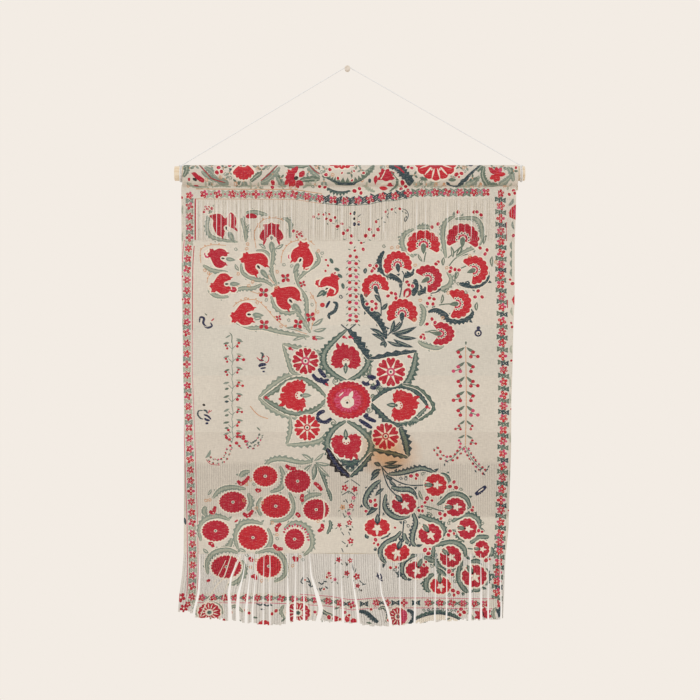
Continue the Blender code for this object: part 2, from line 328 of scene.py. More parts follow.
def cloth_place(x, y, lift):
    """Point in metres of the drawing's (x, y), lifted off the middle of the sheet to its face."""
    if y >= PANEL_ROW:
        px, pz = to_x(x), to_z(y)
        here = panel_y(px, pz)
        slope_x = (panel_y(px + 1.0, pz) - here) / 1.0
        slope_z = (panel_y(px, pz + 1.0) - here) / 1.0
        normal = Vector((slope_x, -1.0, slope_z)).normalized()
        return (Vector((px, here, pz)) + normal * lift) * MM
    length = (PANEL_ROW - y) * UNIT
    before, after = section_at(length - 0.4), section_at(length + 0.4)
    along = Vector((0.0, after[0] - before[0], after[1] - before[1])).normalized()
    normal = Vector((0.0, -along.z, along.y))
    across, up = section_at(length)
    middle = Vector((to_x(x), DOWEL_CENTRE[1] + across, DOWEL_CENTRE[2] + up))
    return (middle + normal * lift) * MM


def side_edges(y):
    """Left and right edge of the cloth at this row of the drawing."""
    z = min(to_z(y), CLOTH_EDGES[0][0]) if y >= SLEEVE_WRAP_ROW else CLOTH_EDGES[0][0]
    left = to_drawing_x(interpolate(CLOTH_EDGES, z, 1))
    right = to_drawing_x(interpolate(CLOTH_EDGES, z, 2))
    return left, right


# ---------------------------------------------------------------- drawing tools


def polar(x, y, radius, angle):
    """Point at this distance and angle from (x, y)."""
    angle = math.radians(angle)
    return (x + radius * math.cos(angle), y + radius * math.sin(angle))


def oval(x, y, rx, ry=None, turn=0.0, count=14):
    """Turned ellipse."""
    ry = rx if ry is None else ry
    c, s = math.cos(math.radians(turn)), math.sin(math.radians(turn))
    points = []
    for step in range(count):
        angle = 2.0 * math.pi * step / count
        u, v = rx * math.cos(angle), ry * math.sin(angle)
        points.append((x + u * c - v * s, y + u * s + v * c))
    return points


def scallops(x, y, rx, ry, lobes, depth, start=0.0, sweep=360.0, inner=0.0):
    """Outline with rounded lobes, all round or over a sweep, then back along an inner arc."""
    points = []
    count = lobes * 5
    for step in range(count + (0 if sweep == 360.0 else 1)):
        bulge = abs(math.sin(math.pi * (step % 5) / 5.0)) if step % 5 else 0.0
        reach = 1.0 - depth * (1.0 - bulge)
        angle = math.radians(start + sweep * step / count)
        points.append((x + rx * reach * math.cos(angle), y + ry * reach * math.sin(angle)))
    if sweep != 360.0:
        for step in range(13):
            angle = math.radians(start + sweep * (1.0 - step / 12.0))
            points.append((x + rx * inner * math.cos(angle), y + ry * inner * math.sin(angle)))
    return points


def leaf(x, y, length, width, angle, bend=0.0, blunt=1.0):
    """Pointed leaf that starts at (x, y) and runs at this angle, with its middle bent aside."""
    c, s = math.cos(math.radians(angle)), math.sin(math.radians(angle))
    left, right = [], []
    for step in range(9):
        t = step / 8.0
        half = width * 0.5 * math.sin(math.pi * t**blunt) ** 0.8 if 0.0 < t < 1.0 else 0.0
        u, v = length * t, bend * length * math.sin(math.pi * t)
        left.append((x + u * c - (v + half) * s, y + u * s + (v + half) * c))
        right.append((x + u * c - (v - half) * s, y + u * s + (v - half) * c))
    return left + right[-2:0:-1]


def through(points, steps=6):
    """Smooth path through the given points."""
    path = []
    ends = [points[0]] + list(points) + [points[-1]]
    for a, b, c, d in zip(ends, ends[1:], ends[2:], ends[3:]):
        for step in range(steps):
            t = step / steps
            place = []
            for axis in (0, 1):
                place.append(
                    0.5
                    * (
                        2.0 * b[axis]
                        + (c[axis] - a[axis]) * t
                        + (2.0 * a[axis] - 5.0 * b[axis] + 4.0 * c[axis] - d[axis]) * t * t
                        + (3.0 * b[axis] - a[axis] - 3.0 * c[axis] + d[axis]) * t**3
                    )
                )
            path.append(tuple(place))
    path.append(tuple(points[-1]))
    return path


def ribbon(points, width, teeth=0.0, side=1.0, tip=0.25):
    """Band along a smooth path, widest in the middle, with saw teeth on one side."""
    path = through(points)
    last = len(path) - 1
    left, right = [], []
    for index, (x, y) in enumerate(path):
        before, after = path[max(index - 1, 0)], path[min(index + 1, last)]
        dx, dy = after[0] - before[0], after[1] - before[1]
        size = math.hypot(dx, dy) or 1.0
        nx, ny = -dy / size, dx / size
        share = math.sin(math.pi * index / last)
        half = 0.5 * width * (tip + (1.0 - tip) * share**0.5 if share > 0.0 else tip)
        tooth = teeth * share if index % 2 and teeth else 0.0
        out_left = half + (tooth if side > 0 else 0.0)
        out_right = half + (tooth if side < 0 else 0.0)
        left.append((x + nx * out_left, y + ny * out_left))
        right.append((x - nx * out_right, y - ny * out_right))
    return left + right[::-1]


def line(points, width):
    """Band of even width along a smooth path."""
    return ribbon(points, width, tip=0.9)


def painter(shape):
    """Method that adds this shape, printed in an ink."""

    def paint(self, ink, *sizes, **more):
        self.append((ink, shape(*sizes, **more)))

    return paint


class Drawing(list):
    """Printed shapes in the order of painting, each as (ink, outline)."""

    oval = painter(oval)
    scallops = painter(scallops)
    leaf = painter(leaf)
    ribbon = painter(ribbon)
    line = painter(line)


# ---------------------------------------------------------------- motifs


def strip_ink(x, pale, dark):
    """The middle strip is printed darker than the others."""
    return dark if STRIP_SEAMS[1] < x < STRIP_SEAMS[2] else pale


def shaped(x, y, r, turn, rows, flip=1):
    """Smooth closed outline from (angle, reach) rows, turned and mirrored in place."""
    corners = [polar(x, y, r * reach, turn + flip * angle) for angle, reach in rows]
    looped = [corners[-1]] + corners + corners[:2]
    path = []
    for a, b, c, d in zip(looped, looped[1:], looped[2:], looped[3:]):
        path += through([a, b, c, d], 4)[4:8]
    return path


# Outlines of the blooms: angle from the stem in degrees, reach as a share of the radius.
COMMA = (
    (20, 0.42), (26, 0.86), (62, 1.02), (100, 1.04), (128, 1.0), (138, 1.08), (145, 1.5), (158, 1.3),
    (171, 1.44), (182, 1.1), (205, 0.94), (232, 0.98), (256, 1.08), (284, 1.1), (308, 1.02), (330, 0.88),
    (322, 0.45),
)
FAN = (
    (50, 0.42), (46, 0.88), (74, 1.08), (106, 0.88), (126, 0.78), (140, 1.08), (162, 0.9), (180, 1.0),
    (198, 0.9), (220, 1.08), (234, 0.78), (254, 0.88), (286, 1.08), (314, 0.88), (310, 0.42),
)
TULIP = (
    (28, 0.5), (34, 0.95), (66, 1.05), (112, 1.0), (140, 1.05), (148, 1.5), (168, 1.2), (188, 0.95),
    (212, 0.55), (232, 1.15), (262, 1.1), (292, 0.95), (318, 0.8), (330, 0.45),
)
BLOOM_FORMS = {"comma": COMMA, "fan": FAN, "tulip": TULIP}


def round_rosette(art, x, y, rx, ry, seed):
    """Round flower with a scalloped rim, fine rays and a small eye."""
    art.scallops("cream", x, y, rx + 1.3, ry + 1.3, 24, 0.02)
    art.scallops("crimson" if seed % 3 else "scarlet", x, y, rx, ry, 24, 0.08)
    for ray in range(12):
        c, q = math.cos(math.radians(ray * 30 + 8)), math.sin(math.radians(ray * 30 + 8))
        angle = math.degrees(math.atan2(q * ry, c * rx))
        art.leaf("crimson", x + c * rx * 0.4, y + q * ry * 0.4, rx * 0.5, 0.5, angle)
    art.scallops("crimson", x, y, rx * 0.28, ry * 0.3, 10, 0.12)
    art.oval("cream", x, y, 1.7, 1.5)
    art.oval("moss", x, y, 1.0, 0.9, count=8)


def carnation(art, x, y, r, away, squash=1.0, seed=0):
    """Fan of petals that opens away from its stem, with a pale dotted heart and a bud."""
    dark = strip_ink(x, "moss", "slate")
    red = ("scarlet", "crimson")[seed % 2]
    hx, hy = polar(x, y, -0.24 * r, away)
    outer = r * 1.18

    def at(reach, angle):
        a = math.radians(angle)
        return hx + math.cos(a) * outer * reach, hy + math.sin(a) * outer * reach * squash

    art.scallops("cream", hx, hy, outer + 1.1, (outer + 1.1) * squash, 10, 0.06, away - 128, 256, 0.0)
    art.scallops(red, hx, hy, outer, outer * squash, 10, 0.1, away - 122, 244, 0.1)
    art.scallops("cream", hx, hy, outer * 0.47, outer * 0.47 * squash, 8, 0.16, away - 118, 236, 0.0)
    art.oval("cream", hx, hy, outer * 0.3, outer * 0.3 * squash)
    for dot in range(8):
        angle = away - 102 + 29 * dot
        art.oval("black", *at(0.37, angle), outer * 0.05, count=6)
        art.oval(red if dot % 2 else "rose", *at(0.24, angle + 14), outer * 0.075, count=7)
    bx, by = at(0.14, away)
    art.leaf(dark, bx, by, outer * 0.66, outer * 0.32, away + 180, blunt=0.7)


def bloom(art, x, y, r, turn, form="comma", flip=1, ink="crimson"):
    """Bloom with a flared lobe, a black eye and a leafy calyx towards its stem."""
    rows = BLOOM_FORMS[form]
    art.append(("cream", shaped(x, y, r + 1.5, turn, rows, flip)))
    art.append((ink, shaped(x, y, r, turn, rows, flip)))
    if form == "comma":
        for step in range(5):
            place = polar(x, y, r * 1.18, turn + flip * (140 + 10 * step))
            art.oval(ink, *place, r * 0.16, r * 0.11, turn + flip * (140 + 10 * step), 8)
    eye = polar(x, y, r * 0.34, turn)
    art.oval("cream", *eye, r * 0.3, r * 0.26, turn)
    for side in (-1, 1):
        art.leaf(
            ink, *polar(*eye, r * 0.42, turn + side * 78), r * 0.62, r * 0.2, turn + side * 26,
            bend=0.12 * side,
        )
    art.leaf("black", *polar(*eye, r * 0.2, turn + 180), r * 0.42, r * 0.2, turn, blunt=0.8)
    calyx = strip_ink(x, "sage", "teal")
    art.leaf(calyx, *polar(x, y, r * 0.62, turn), r * 1.1, r * 0.46, turn, blunt=0.7)
    art.leaf("mist", *polar(x, y, r * 0.86, turn), r * 0.62, r * 0.14, turn, blunt=0.8)


def star_bloom(art, x, y, r, squash, turn, ink="crimson"):
    """Full scalloped bloom of the lower bush with a small pale star in it and a bud."""
    art.scallops("cream", x, y, r + 1.4, r * squash + 1.4, 12, 0.03)
    art.scallops(ink, x, y, r, r * squash, 12, 0.1)
    middle = polar(x, y, -0.08 * r, turn)
    for point in range(5):
        angle = turn + 180 + 72 * point
        size = (0.56, 0.4, 0.34, 0.34, 0.4)[point]
        art.leaf("cream", *middle, r * size, r * 0.22, angle, blunt=0.8)
    for side in (-1, 1):
        place = polar(x, y, r * 0.5, turn + side * 24)
        art.leaf("cream", *place, r * 0.66, r * 0.14, turn + side * 8)
    dark = strip_ink(x, "moss", "slate")
    start = polar(x, y, r * 0.2, turn)
    art.leaf(dark, *start, r * 0.86, r * 0.42, turn, blunt=0.8)
    art.leaf("sage", *polar(x, y, r * 0.44, turn), r * 0.46, r * 0.14, turn, blunt=0.8)
    art.oval("black", *polar(x, y, r * 0.26, turn), r * 0.09, count=7)


def star_carnation(art, x, y, r, away, seed=0):
    """Large bloom of the star: a full scalloped hood, curled side petals and a pale heart."""
    dark = strip_ink(x, "sage", "teal")
    hx, hy = polar(x, y, -0.06 * r, away)
    ink = "scarlet" if seed else "crimson"
    art.scallops("cream", hx, hy, r * 1.1 + 1.6, r * 1.06 + 1.6, 9, 0.06, away - 138, 276, 0.0)
    art.scallops(ink, hx, hy, r * 1.1, r * 1.06, 9, 0.1, away - 134, 268, 0.0)
    for side in (-1, 1):
        for angle, start, length in (
            (100, 0.66, 0.5), (126, 0.56, 0.72), (150, 0.44, 0.8), (172, 0.34, 0.72), (196, 0.2, 0.56),
        ):
            place = polar(hx, hy, r * start, away + side * 96)
            art.leaf(ink, *place, r * length, r * 0.36, away + side * angle, bend=0.18 * side)
    for turn, length in ((-24, 0.66), (-6, 0.5)):
        art.leaf(
            ink, *polar(hx, hy, r * 0.76, away + turn), r * length, r * 0.3, away + turn - 16, bend=-0.18,
        )
    art.oval("cream", *polar(hx, hy, -r * 0.26, away), r * 0.29)
    art.leaf("cream", *polar(hx, hy, r * 0.8, away + 14), r * 0.3, r * 0.08, away)
    for dot in (-50, 0, 50):
        art.oval(ink, *polar(*polar(hx, hy, -r * 0.26, away), r * 0.2, away + dot), r * 0.06, count=7)
    art.oval("black", *polar(hx, hy, -r * 0.42, away), r * 0.1, count=8)
    art.leaf(dark, *polar(hx, hy, -r * 0.42, away), r * 0.72, r * 0.34, away + 180, blunt=0.7)
    art.leaf("mist", *polar(hx, hy, -r * 0.54, away), r * 0.44, r * 0.12, away + 180, blunt=0.7)


def petal_ring(art, x, y, r, count=8, ink="crimson", turn=10.0, stretch=1.0):
    """Rosette of heart-shaped petals round a ringed eye."""
    art.oval("cream", x, y, r * 1.06, r * 1.06 * stretch, count=24)
    for petal in range(count):
        angle = turn + 360.0 * petal / count
        spread = 360.0 / count * 0.48
        outline = [polar(x, y, r * 0.24, angle)]
        for step in range(9):
            share = step / 8.0
            dip = 0.84 + 0.16 * abs(math.sin(math.pi * 2.0 * share)) ** 0.6
            outline.append(polar(x, y, r * dip, angle + spread * (2.0 * share - 1.0)))
        outline = [(px, y + (py - y) * stretch) for px, py in outline]
        art.append((ink, outline))
    art.oval(ink, x, y, r * 0.26, r * 0.26 * stretch)
    art.oval("cream", x, y, r * 0.16, r * 0.16 * stretch)
    art.oval("black", x, y, r * 0.08, count=8)


def floret(art, x, y, r, petals=4, turn=20.0, ink="crimson", eye="cream"):
    """Small cross-shaped flower."""
    for petal in range(petals):
        angle = turn + 360.0 * petal / petals
        px, py = polar(x, y, r * 0.6, angle)
        art.oval(ink, px, py, r * 0.44, r * 0.34, angle, 9)
    art.oval(eye, x, y, r * 0.24, count=8)


def curl(art, x, y, r, ink="ochre", turn=0.0, width=0.5):
    """Small open spiral."""
    path = [polar(x, y, r * (1.0 - 0.12 * step), turn + 75 * step) for step in range(7)]
    art.ribbon(ink, path, width, tip=0.6)


TOP_BAND_LINE = (
    (189, 194), (294, 194.5), (307, 196.5), (320, 198.5), (345, 201), (358, 200.5), (370, 199.5),
    (382, 196.5), (395, 196), (408, 193), (435, 192.5), (500, 192.3),
)
TOP_BAND_FLOWERS = (
    204, 218, 232, 243.5, 256, 269, 282, 294, 307, 320, 333, 345, 358, 370, 382, 395, 408, 422, 435, 447,
    460, 474, 486,
)
LOW_BAND_LINE = ((187, 597), (269, 598), (304, 599.5), (330, 601), (352, 604.5), (376, 602.5), (490, 603.5))
LOW_BAND_FLOWERS = (
    202, 213, 225, 235, 246, 257, 269, 281, 294, 304, 316, 328, 340, 352, 376, 387, 404, 428, 440, 452,
    463, 474, 485,
)
LEFT_BAND_LINE = (
    (193, 189.6), (240, 189.6), (250, 188.2), (267, 187.3), (300, 186.9), (373, 187), (396, 188),
    (451, 190), (485, 191), (523, 192.4), (569, 193), (602, 192),
)
RIGHT_BAND_LINE = (
    (193, 500), (206, 500.5), (253, 501), (285, 500.5), (300, 502), (343, 502), (370, 503.5),
    (418, 503.5), (435, 503), (477, 502.5), (500, 501), (522, 500.6), (545, 499.6), (565, 498.5),
    (581, 497), (606, 497),
)
RIGHT_BAND_FLOWERS = (
    193.5, 206, 218.5, 231, 241.5, 253, 264.5, 275, 284.5, 296.5, 307, 321, 332, 343, 356, 369.5, 382,
    395, 406, 418, 430, 441, 453.5, 466, 477.5, 489, 500, 510, 522, 533.5, 542, 551, 562, 572, 581,
    592, 604,
)


def band_flower(art, x, y, seed, ink="crimson", size=1.0):
    """Ringed flower of the border bands: full petals round a dark eye."""
    petals = (5, 4, 6)[seed % 3]
    reach, round_size = ((2.7, 1.85), (2.7, 2.05), (2.9, 1.65))[seed % 3]
    art.oval("cream", x, y, 3.2 * size, 3.2 * size)
    for petal in range(petals):
        angle = 360.0 * petal / petals + 22 * (seed % 4)
        tint = "rose" if (petal + seed) % 4 == 0 else ink
        art.oval(
            tint, *polar(x, y, reach * size, angle), round_size * size, (round_size - 0.3) * size, angle, 9,
        )
        if (petal + seed) % 2:
            art.oval("cream", *polar(x, y, (reach + 0.2) * size, angle), 0.42 * size, count=6)
    art.oval(ink, x, y, 1.9 * size, count=9)
    art.oval("cream", x, y, 1.0 * size, count=8)
    art.oval("black" if seed % 2 else ink, x, y, 0.6 * size, count=7)


def band_leaves(art, x, y, ink, reach=4.6):
    """Crossed leaves between two flowers of a band."""
    for number, angle in enumerate((34, 146, 214, 326)):
        art.leaf(ink, x, y, reach, 2.9, angle, 0.16 if number % 2 else -0.16, 0.8)
    art.oval(ink, x, y, 1.0, count=7)
    for shift in (-3.0, 3.0):
        art.oval("cream", x + shift * 0.5, y, 0.4, count=6)


def strip(rows, start, end, low, high):
    """Outline of a band along a column given as rows of (y, x)."""
    ys = frange(start, end, 6)
    left = [(interpolate(rows, y, 1) + low, y) for y in ys]
    right = [(interpolate(rows, y, 1) + high, y) for y in ys]
    return left + right[::-1]


def flat_strip(rows, start, end, low, high):
    """Outline of a band along a row given as rows of (x, y)."""
    xs = frange(start, end, 6)
    upper = [(x, interpolate(rows, x, 1) + low) for x in xs]
    lower = [(x, interpolate(rows, x, 1) + high) for x in xs]
    return upper + lower[::-1]


def draw_bands(art):
    """The four border bands: their strips of colour, flowers and leaves."""
    art.append(("cool", strip(LEFT_BAND_LINE, 188, 606, -5.4, 5.0)))
    art.append(("crimson", strip(LEFT_BAND_LINE, 198, 240, 5.2, 6.4)))
    art.append(("crimson", strip(LEFT_BAND_LINE, 246, 330, 5.2, 6.0)))
    art.append(("rose", strip(LEFT_BAND_LINE, 330, 596, 5.2, 5.7)))
    art.append(("rose", strip(LEFT_BAND_LINE, 240, 596, -5.4, -4.8)))
    for number in range(39):
        y = 195.5 + 10.55 * number
        x = interpolate(LEFT_BAND_LINE, y, 1)
        middle = interpolate(LEFT_BAND_LINE, y + 5.2, 1)
        band_leaves(art, middle, y + 5.2, "mist" if number % 3 else "sage", 4.8)
        band_flower(art, x, y, number, "crimson" if number % 5 else "scarlet", 0.87)
    art.append(("cool", strip(RIGHT_BAND_LINE, 188, 612, -4.8, 4.8)))
    for number, y in enumerate(RIGHT_BAND_FLOWERS[:-1]):
        between = (y + RIGHT_BAND_FLOWERS[number + 1]) / 2.0
        x = interpolate(RIGHT_BAND_LINE, between, 1)
        band_leaves(art, x - 1.7, between - 0.6, "moss" if number % 3 else "teal", 4.7)
        band_leaves(art, x + 1.7, between + 0.6, ("teal", "moss", "slate", "moss")[number % 4], 4.7)
    for number, y in enumerate(RIGHT_BAND_FLOWERS):
        band_flower(
            art, interpolate(RIGHT_BAND_LINE, y, 1), y, number + 2, "scarlet" if number % 3 else "crimson",
            0.96,
        )
    art.append(("crimson", strip(RIGHT_BAND_LINE, 222, 241, 5.2, 6.0)))
    art.append(("crimson", strip(RIGHT_BAND_LINE, 300, 308, 4.8, 5.8)))
    art.append(("cool", flat_strip(TOP_BAND_LINE, 194, 498, -4.6, 4.6)))
    art.append(("ochre", flat_strip(TOP_BAND_LINE, 196, 322, -5.4, -4.6)))
    art.append(("ochre", flat_strip(TOP_BAND_LINE, 196, 322, 4.6, 5.1)))
    art.append(("moss", flat_strip(TOP_BAND_LINE, 322, 412, 4.3, 5.0)))
    for number, x in enumerate(TOP_BAND_FLOWERS[:-1]):
        between = (x + TOP_BAND_FLOWERS[number + 1]) / 2.0
        y = interpolate(TOP_BAND_LINE, between, 1)
        if 322 < between < 412:
            band_leaves(art, between - 1.2, y - 1.6, "slate", 5.6)
            band_leaves(art, between + 1.2, y + 1.6, "slate", 5.4)
        else:
            for shift in (-1.7, 1.7):
                ink = "mist" if between < 300 else "sage" if between < 322 or number % 2 else "moss"
                band_leaves(art, between - shift * 0.3, y + shift, ink, 5.0)
            art.oval("rose", between, y, 1.0, count=8)
    for number, x in enumerate(TOP_BAND_FLOWERS):
        band_flower(art, x, interpolate(TOP_BAND_LINE, x, 1), number, "crimson", 0.94)
    art.append(("cool", flat_strip(LOW_BAND_LINE, 196, 497, -5.0, 5.0)))
    art.append(("rose", flat_strip(LOW_BAND_LINE, 300, 494, -5.2, -4.6)))
    art.append(("rose", flat_strip(LOW_BAND_LINE, 196, 494, 4.8, 5.4)))
    for number, x in enumerate(LOW_BAND_FLOWERS[:-1]):
        between = (x + LOW_BAND_FLOWERS[number + 1]) / 2.0
        y = interpolate(LOW_BAND_LINE, between, 1)
        ink = "slate" if 340 < between < 428 else "moss" if number % 2 else "sage"
        band_leaves(art, between, y, ink, 5.2)
    for number, x in enumerate(LOW_BAND_FLOWERS):
        band_flower(art, x, interpolate(LOW_BAND_LINE, x, 1), number, "crimson", 0.86)


def frange(start, end, step):
    """Numbers from start to before end, a step apart."""
    values = []
    while start < end:
        values.append(start)
        start += step
    return values + [end]


SLEEVE_VINES = (
    ((183, 170), (187, 167), (187, 172), (184, 178)), ((187, 183), (196, 186.5), (207, 186.5)),
    ((214, 186.5), (222, 185), (231, 187)), ((238, 187), (245, 184.5), (252, 187)),
    ((202, 172), (208, 177), (218, 181), (229, 183)), ((205, 168), (212, 172), (216, 178)),
    ((251, 182), (256, 177.5), (262, 174)), ((261, 183), (268, 180.5), (275, 174.5), (280, 168)),
    ((277, 174), (279.5, 181), (286, 187)), ((284, 165.8), (296, 167.2), (309, 166)),
    ((303, 188.4), (308, 184.5), (313, 185)), ((309, 167), (314, 174), (320, 179)),
    ((300, 181), (310, 180), (320, 180)), ((361, 176), (369, 172), (374, 166)),
    ((364, 184), (368, 189), (375, 192)), ((427, 187), (432, 183), (440, 181.5)),
    ((414, 186.5), (421, 184.5)), ((465, 184), (473, 182.5), (479, 177)),
    ((484, 167), (482, 176), (487, 184), (498, 185)), ((507, 168), (511, 174), (513, 182)),
    ((498, 184.5), (505, 182), (510, 177)), ((476, 172), (482, 166)),
    ((455, 187.5), (462, 186), (470, 187)),
)
SLEEVE_SPRIGS = (
    (190, 169), (196, 167), (212, 167), (224, 169), (230, 174), (226, 180), (237, 183), (244, 182),
    (258, 167), (262, 171), (268, 166), (273, 175), (281, 179), (309, 173), (315, 184), (318, 167),
    (325, 170), (324, 182), (351, 174), (357, 167), (361, 171), (366, 186), (381, 166), (398, 186),
    (414, 176), (416, 184), (426, 184), (434, 186), (441, 187), (452, 178), (459, 168), (466, 168),
    (466, 187), (472, 179), (478, 186), (485, 187), (492, 168), (503, 167), (508, 186), (513, 172),
    (206, 186), (212, 184), (252, 186), (258, 187), (282, 187),
)
SLEEVE_BERRIES = (
    (219, 168.4, 2.2), (217.4, 173.4, 2.4), (222, 172.6, 2.2), (230, 166, 2.2), (262, 166, 2.0),
    (273, 182.6, 2.2), (272.4, 187, 2.2), (319.6, 186, 2.2), (325, 187, 2.0), (326, 175.6, 2.0),
    (330, 170.6, 2.0), (338, 179, 1.6), (342, 174, 1.2), (363.5, 174, 1.6), (354.5, 191, 2.4),
    (359.5, 188.6, 2.0), (361, 193, 2.0), (408, 168, 2.0), (411.6, 169, 1.8), (402.4, 182.8, 2.4),
    (405.6, 186, 2.4), (401, 189, 2.0), (456, 175.4, 2.4), (461, 174.4, 2.2), (458.6, 178, 1.4),
    (515.4, 168.6, 1.6), (352, 181, 1.2), (354, 172, 1.2), (241, 166, 1.2),
)
SLEEVE_CURLS = (
    (207, 180), (226, 175), (236, 184), (231, 179), (258, 170), (268, 169), (296, 188), (313, 186),
    (317, 168), (322, 173), (333, 176), (355, 168), (362, 181), (383, 168), (388, 167), (421, 182),
    (436, 184.5), (446, 178), (444, 185), (452, 168.5), (463, 168.5), (464, 172), (467, 179), (476, 180),
    (505, 186), (520, 175), (188, 186), (210, 184), (221, 178), (262, 187), (291, 187), (505, 170),
    (472, 187), (423, 187), (480, 185),
)


def draw_sleeve(art):
    """Flowers, vines and half rosettes above the top band and over the sleeve."""
    seen = Drawing()
    for number, points in enumerate(SLEEVE_VINES):
        low = sum(point[1] for point in points) / len(points) > SLEEVE_FOOT
        ink = "mist" if low else "sage" if number % 3 else "moss"
        size = 0.7 if low else 1.1
        seen.ribbon(ink, points, 4.2 * size, 1.5, 1 if number % 2 else -1)
        seen.ribbon(ink, points, 3.0 * size, 1.2, -1 if number % 2 else 1)
        seen.ribbon("sage" if low else "mist", points, 1.0)
    for number, (x, y) in enumerate(SLEEVE_SPRIGS):
        for turn in (0, 130, 230):
            ink = "mist" if y > 183 else "sage" if number % 3 else "moss"
            seen.leaf(ink, x, y, 4.6, 2.1, turn + 37 * number)
        seen.oval("ochre", x, y, 0.7, count=7)
    for number, (x, y) in enumerate(SLEEVE_CURLS):
        curl(seen, x, y, 2.1, ("ochre", "sage", "ochre", "moss")[number % 4], 40 * (number % 7), 0.7)
    for points in (
        ((199, 165.2), (207, 173.6), (213, 179.6), (226, 183)),
        ((261, 181.6), (269, 175.4), (278.6, 165)),
        ((309, 165), (314, 171), (320, 175)),
    ):
        seen.ribbon("moss", points, 2.0)
        seen.ribbon("crimson", points, 0.9)
    seen.append((
        "crimson",
        through((
            (191.6, 174), (196, 173.4), (200, 176.6), (204.6, 179.6), (204, 183), (200, 182), (195, 178),
        )),
    ))
    seen.leaf("crimson", 193.6, 184, 6.0, 2.6, 18)
    seen.oval("black", 195.4, 180.2, 2.4, 1.5, 20, 10)
    seen.oval("crimson", 189.6, 180.0, 1.3, 1.6, count=8)
    for x, y, turn in (
        (231, 169.4, 30), (234, 168, -30), (236.4, 166.6, 10), (252.6, 167, 10), (255, 165.6, -20),
        (243, 166, 0),
    ):
        seen.leaf("slate", x - 1.6, y, 4.0, 2.2, turn)
    seen.scallops("cream", 244, 162.2, 15.2, 19.8, 7, 0.03, 32, 116, 0.24)
    seen.scallops("scarlet", 244, 162.6, 14.0, 18.2, 7, 0.06, 36, 108, 0.3)
    for ray in range(5):
        seen.leaf("crimson", *polar(244, 168, 3.0, 34 + 28 * ray), 8.6, 1.2, 34 + 28 * ray)
    for angle, length, width in (
        (150, 11, 4.2), (176, 9, 4.0), (206, 9.5, 4.2), (232, 10, 4.2), (118, 10, 5.0), (96, 9, 4.6),
        (262, 9.5, 4.0),
    ):
        seen.leaf("scarlet", 294, 178, length, width, angle)
    for x, y, length, width, angle in (
        (294, 175, 9, 4.8, -66), (299.4, 178, 8, 5.6, -48), (296, 182, 8, 4.6, 14), (296, 183, 6, 3.8, 62),
    ):
        seen.leaf("crimson", x, y, length, width, angle)
    seen.oval("crimson", 290.4, 178, 4.4, 5.6)
    seen.line("cream", ((299, 178), (298, 173), (299.4, 169)), 0.8)
    seen.line("cream", ((287, 176), (285, 171)), 0.7)
    seen.oval("black", 296.4, 179, 2.4, 1.8, -20, 10)
    seen.scallops("cream", 342, 158.6, 17.4, 12.8, 7, 0.08, 6, 168, 0.0)
    seen.scallops("scarlet", 342, 158.6, 16.4, 11.6, 7, 0.14, 8, 164, 0.0)
    for angle in (40, 66, 92, 118, 144):
        seen.leaf("cream", *polar(342, 158.6, 3.0, angle), 6.4, 1.0, angle)
    seen.ribbon(
        "moss", ((374, 165), (371, 172), (362, 180), (350, 183.6), (336, 182.6), (328, 179), (322, 177)),
        2.2, 4.4, 1, 0.4,
    )
    seen.ribbon("slate", ((322, 177.4), (332, 181), (340, 183.2), (352, 183.6), (362, 181)), 1.2)
    seen.ribbon("teal", ((350, 190.6), (342, 192.4), (333, 191), (325, 186.6)), 2.4, 3.4, -1, 0.4)
    seen.ribbon("slate", ((325, 186.6), (333, 190.6), (342, 191.8), (352, 191)), 1.0)
    for angle, length, width in (
        (-112, 8.6, 5.4), (-66, 8.6, 5.4), (-24, 10.4, 5.6), (12, 10, 4.6), (160, 8.6, 4.0),
        (-150, 7.6, 4.4),
    ):
        seen.leaf("crimson", 385, 177.4, length, width, angle)
    seen.oval("crimson", 386, 177.6, 5.4, 4.4)
    seen.leaf("crimson", 375.2, 184, 8.0, 4.2, -84)
    seen.leaf("scarlet", 379, 187.6, 9.0, 4.6, 8)
    seen.leaf("crimson", 386.4, 184.6, 7.6, 3.6, 4)
    seen.line("cream", ((380.6, 180), (383, 176), (385, 171.6)), 0.9)
    seen.ribbon("cream", ((377, 185), (383, 183.6), (392, 182)), 1.2)
    seen.oval("slate", 369.6, 181.4, 1.6, 2.0, count=8)
    seen.ribbon("moss", ((391, 173), (397, 179), (396, 186), (389, 192)), 2.2, 0.8)
    seen.ribbon("slate", ((389, 166), (398, 168), (404, 175), (412, 183.4)), 7.4, 2.2, 1, 0.8)
    seen.ribbon("slate", ((389, 166), (398, 168), (404, 175), (412, 183.4)), 7.0, 2.2, -1, 0.8)
    seen.ribbon("cream", ((394, 175), (399, 180), (404, 182)), 1.0)
    seen.ribbon("crimson", ((394, 166), (399.6, 169.6), (404, 174)), 2.0)
    seen.scallops("cream", 435.6, 162.6, 22.4, 20.0, 7, 0.05, -6, 192)
    seen.scallops("scarlet", 435.6, 162.6, 21.2, 18.6, 7, 0.09, -6, 192)
    seen.oval("crimson", 435.6, 161, 13.0, 8.0)
    for angle in (21, 49, 76, 104, 131, 159):
        seen.leaf("cream", *polar(435.6, 163.0, 6.4, angle), 11.4, 1.7, angle, blunt=0.7)
    for x in (431.6, 439.6):
        seen.oval("cream", x, 170.4, 0.9, 1.2, count=7)
    seen.ribbon("slate", ((446, 182.6), (455, 185.8), (463, 181.6), (470, 174.6), (481, 165)), 2.6, 0.8, 1)
    seen.ribbon("slate", ((460, 182), (465, 180.6), (468, 177)), 3.6)
    seen.leaf("moss", 447.6, 180.6, 8.6, 3.4, 0)
    seen.leaf("moss", 419, 178.4, 9.0, 3.4, 14)
    seen.leaf("navy", 468, 166, 5.0, 2.4, 0)
    for angle, length in ((-134, 11), (-86, 8.4), (-52, 9.4), (-6, 9.6), (96, 7.2), (150, 7.4), (60, 6.6)):
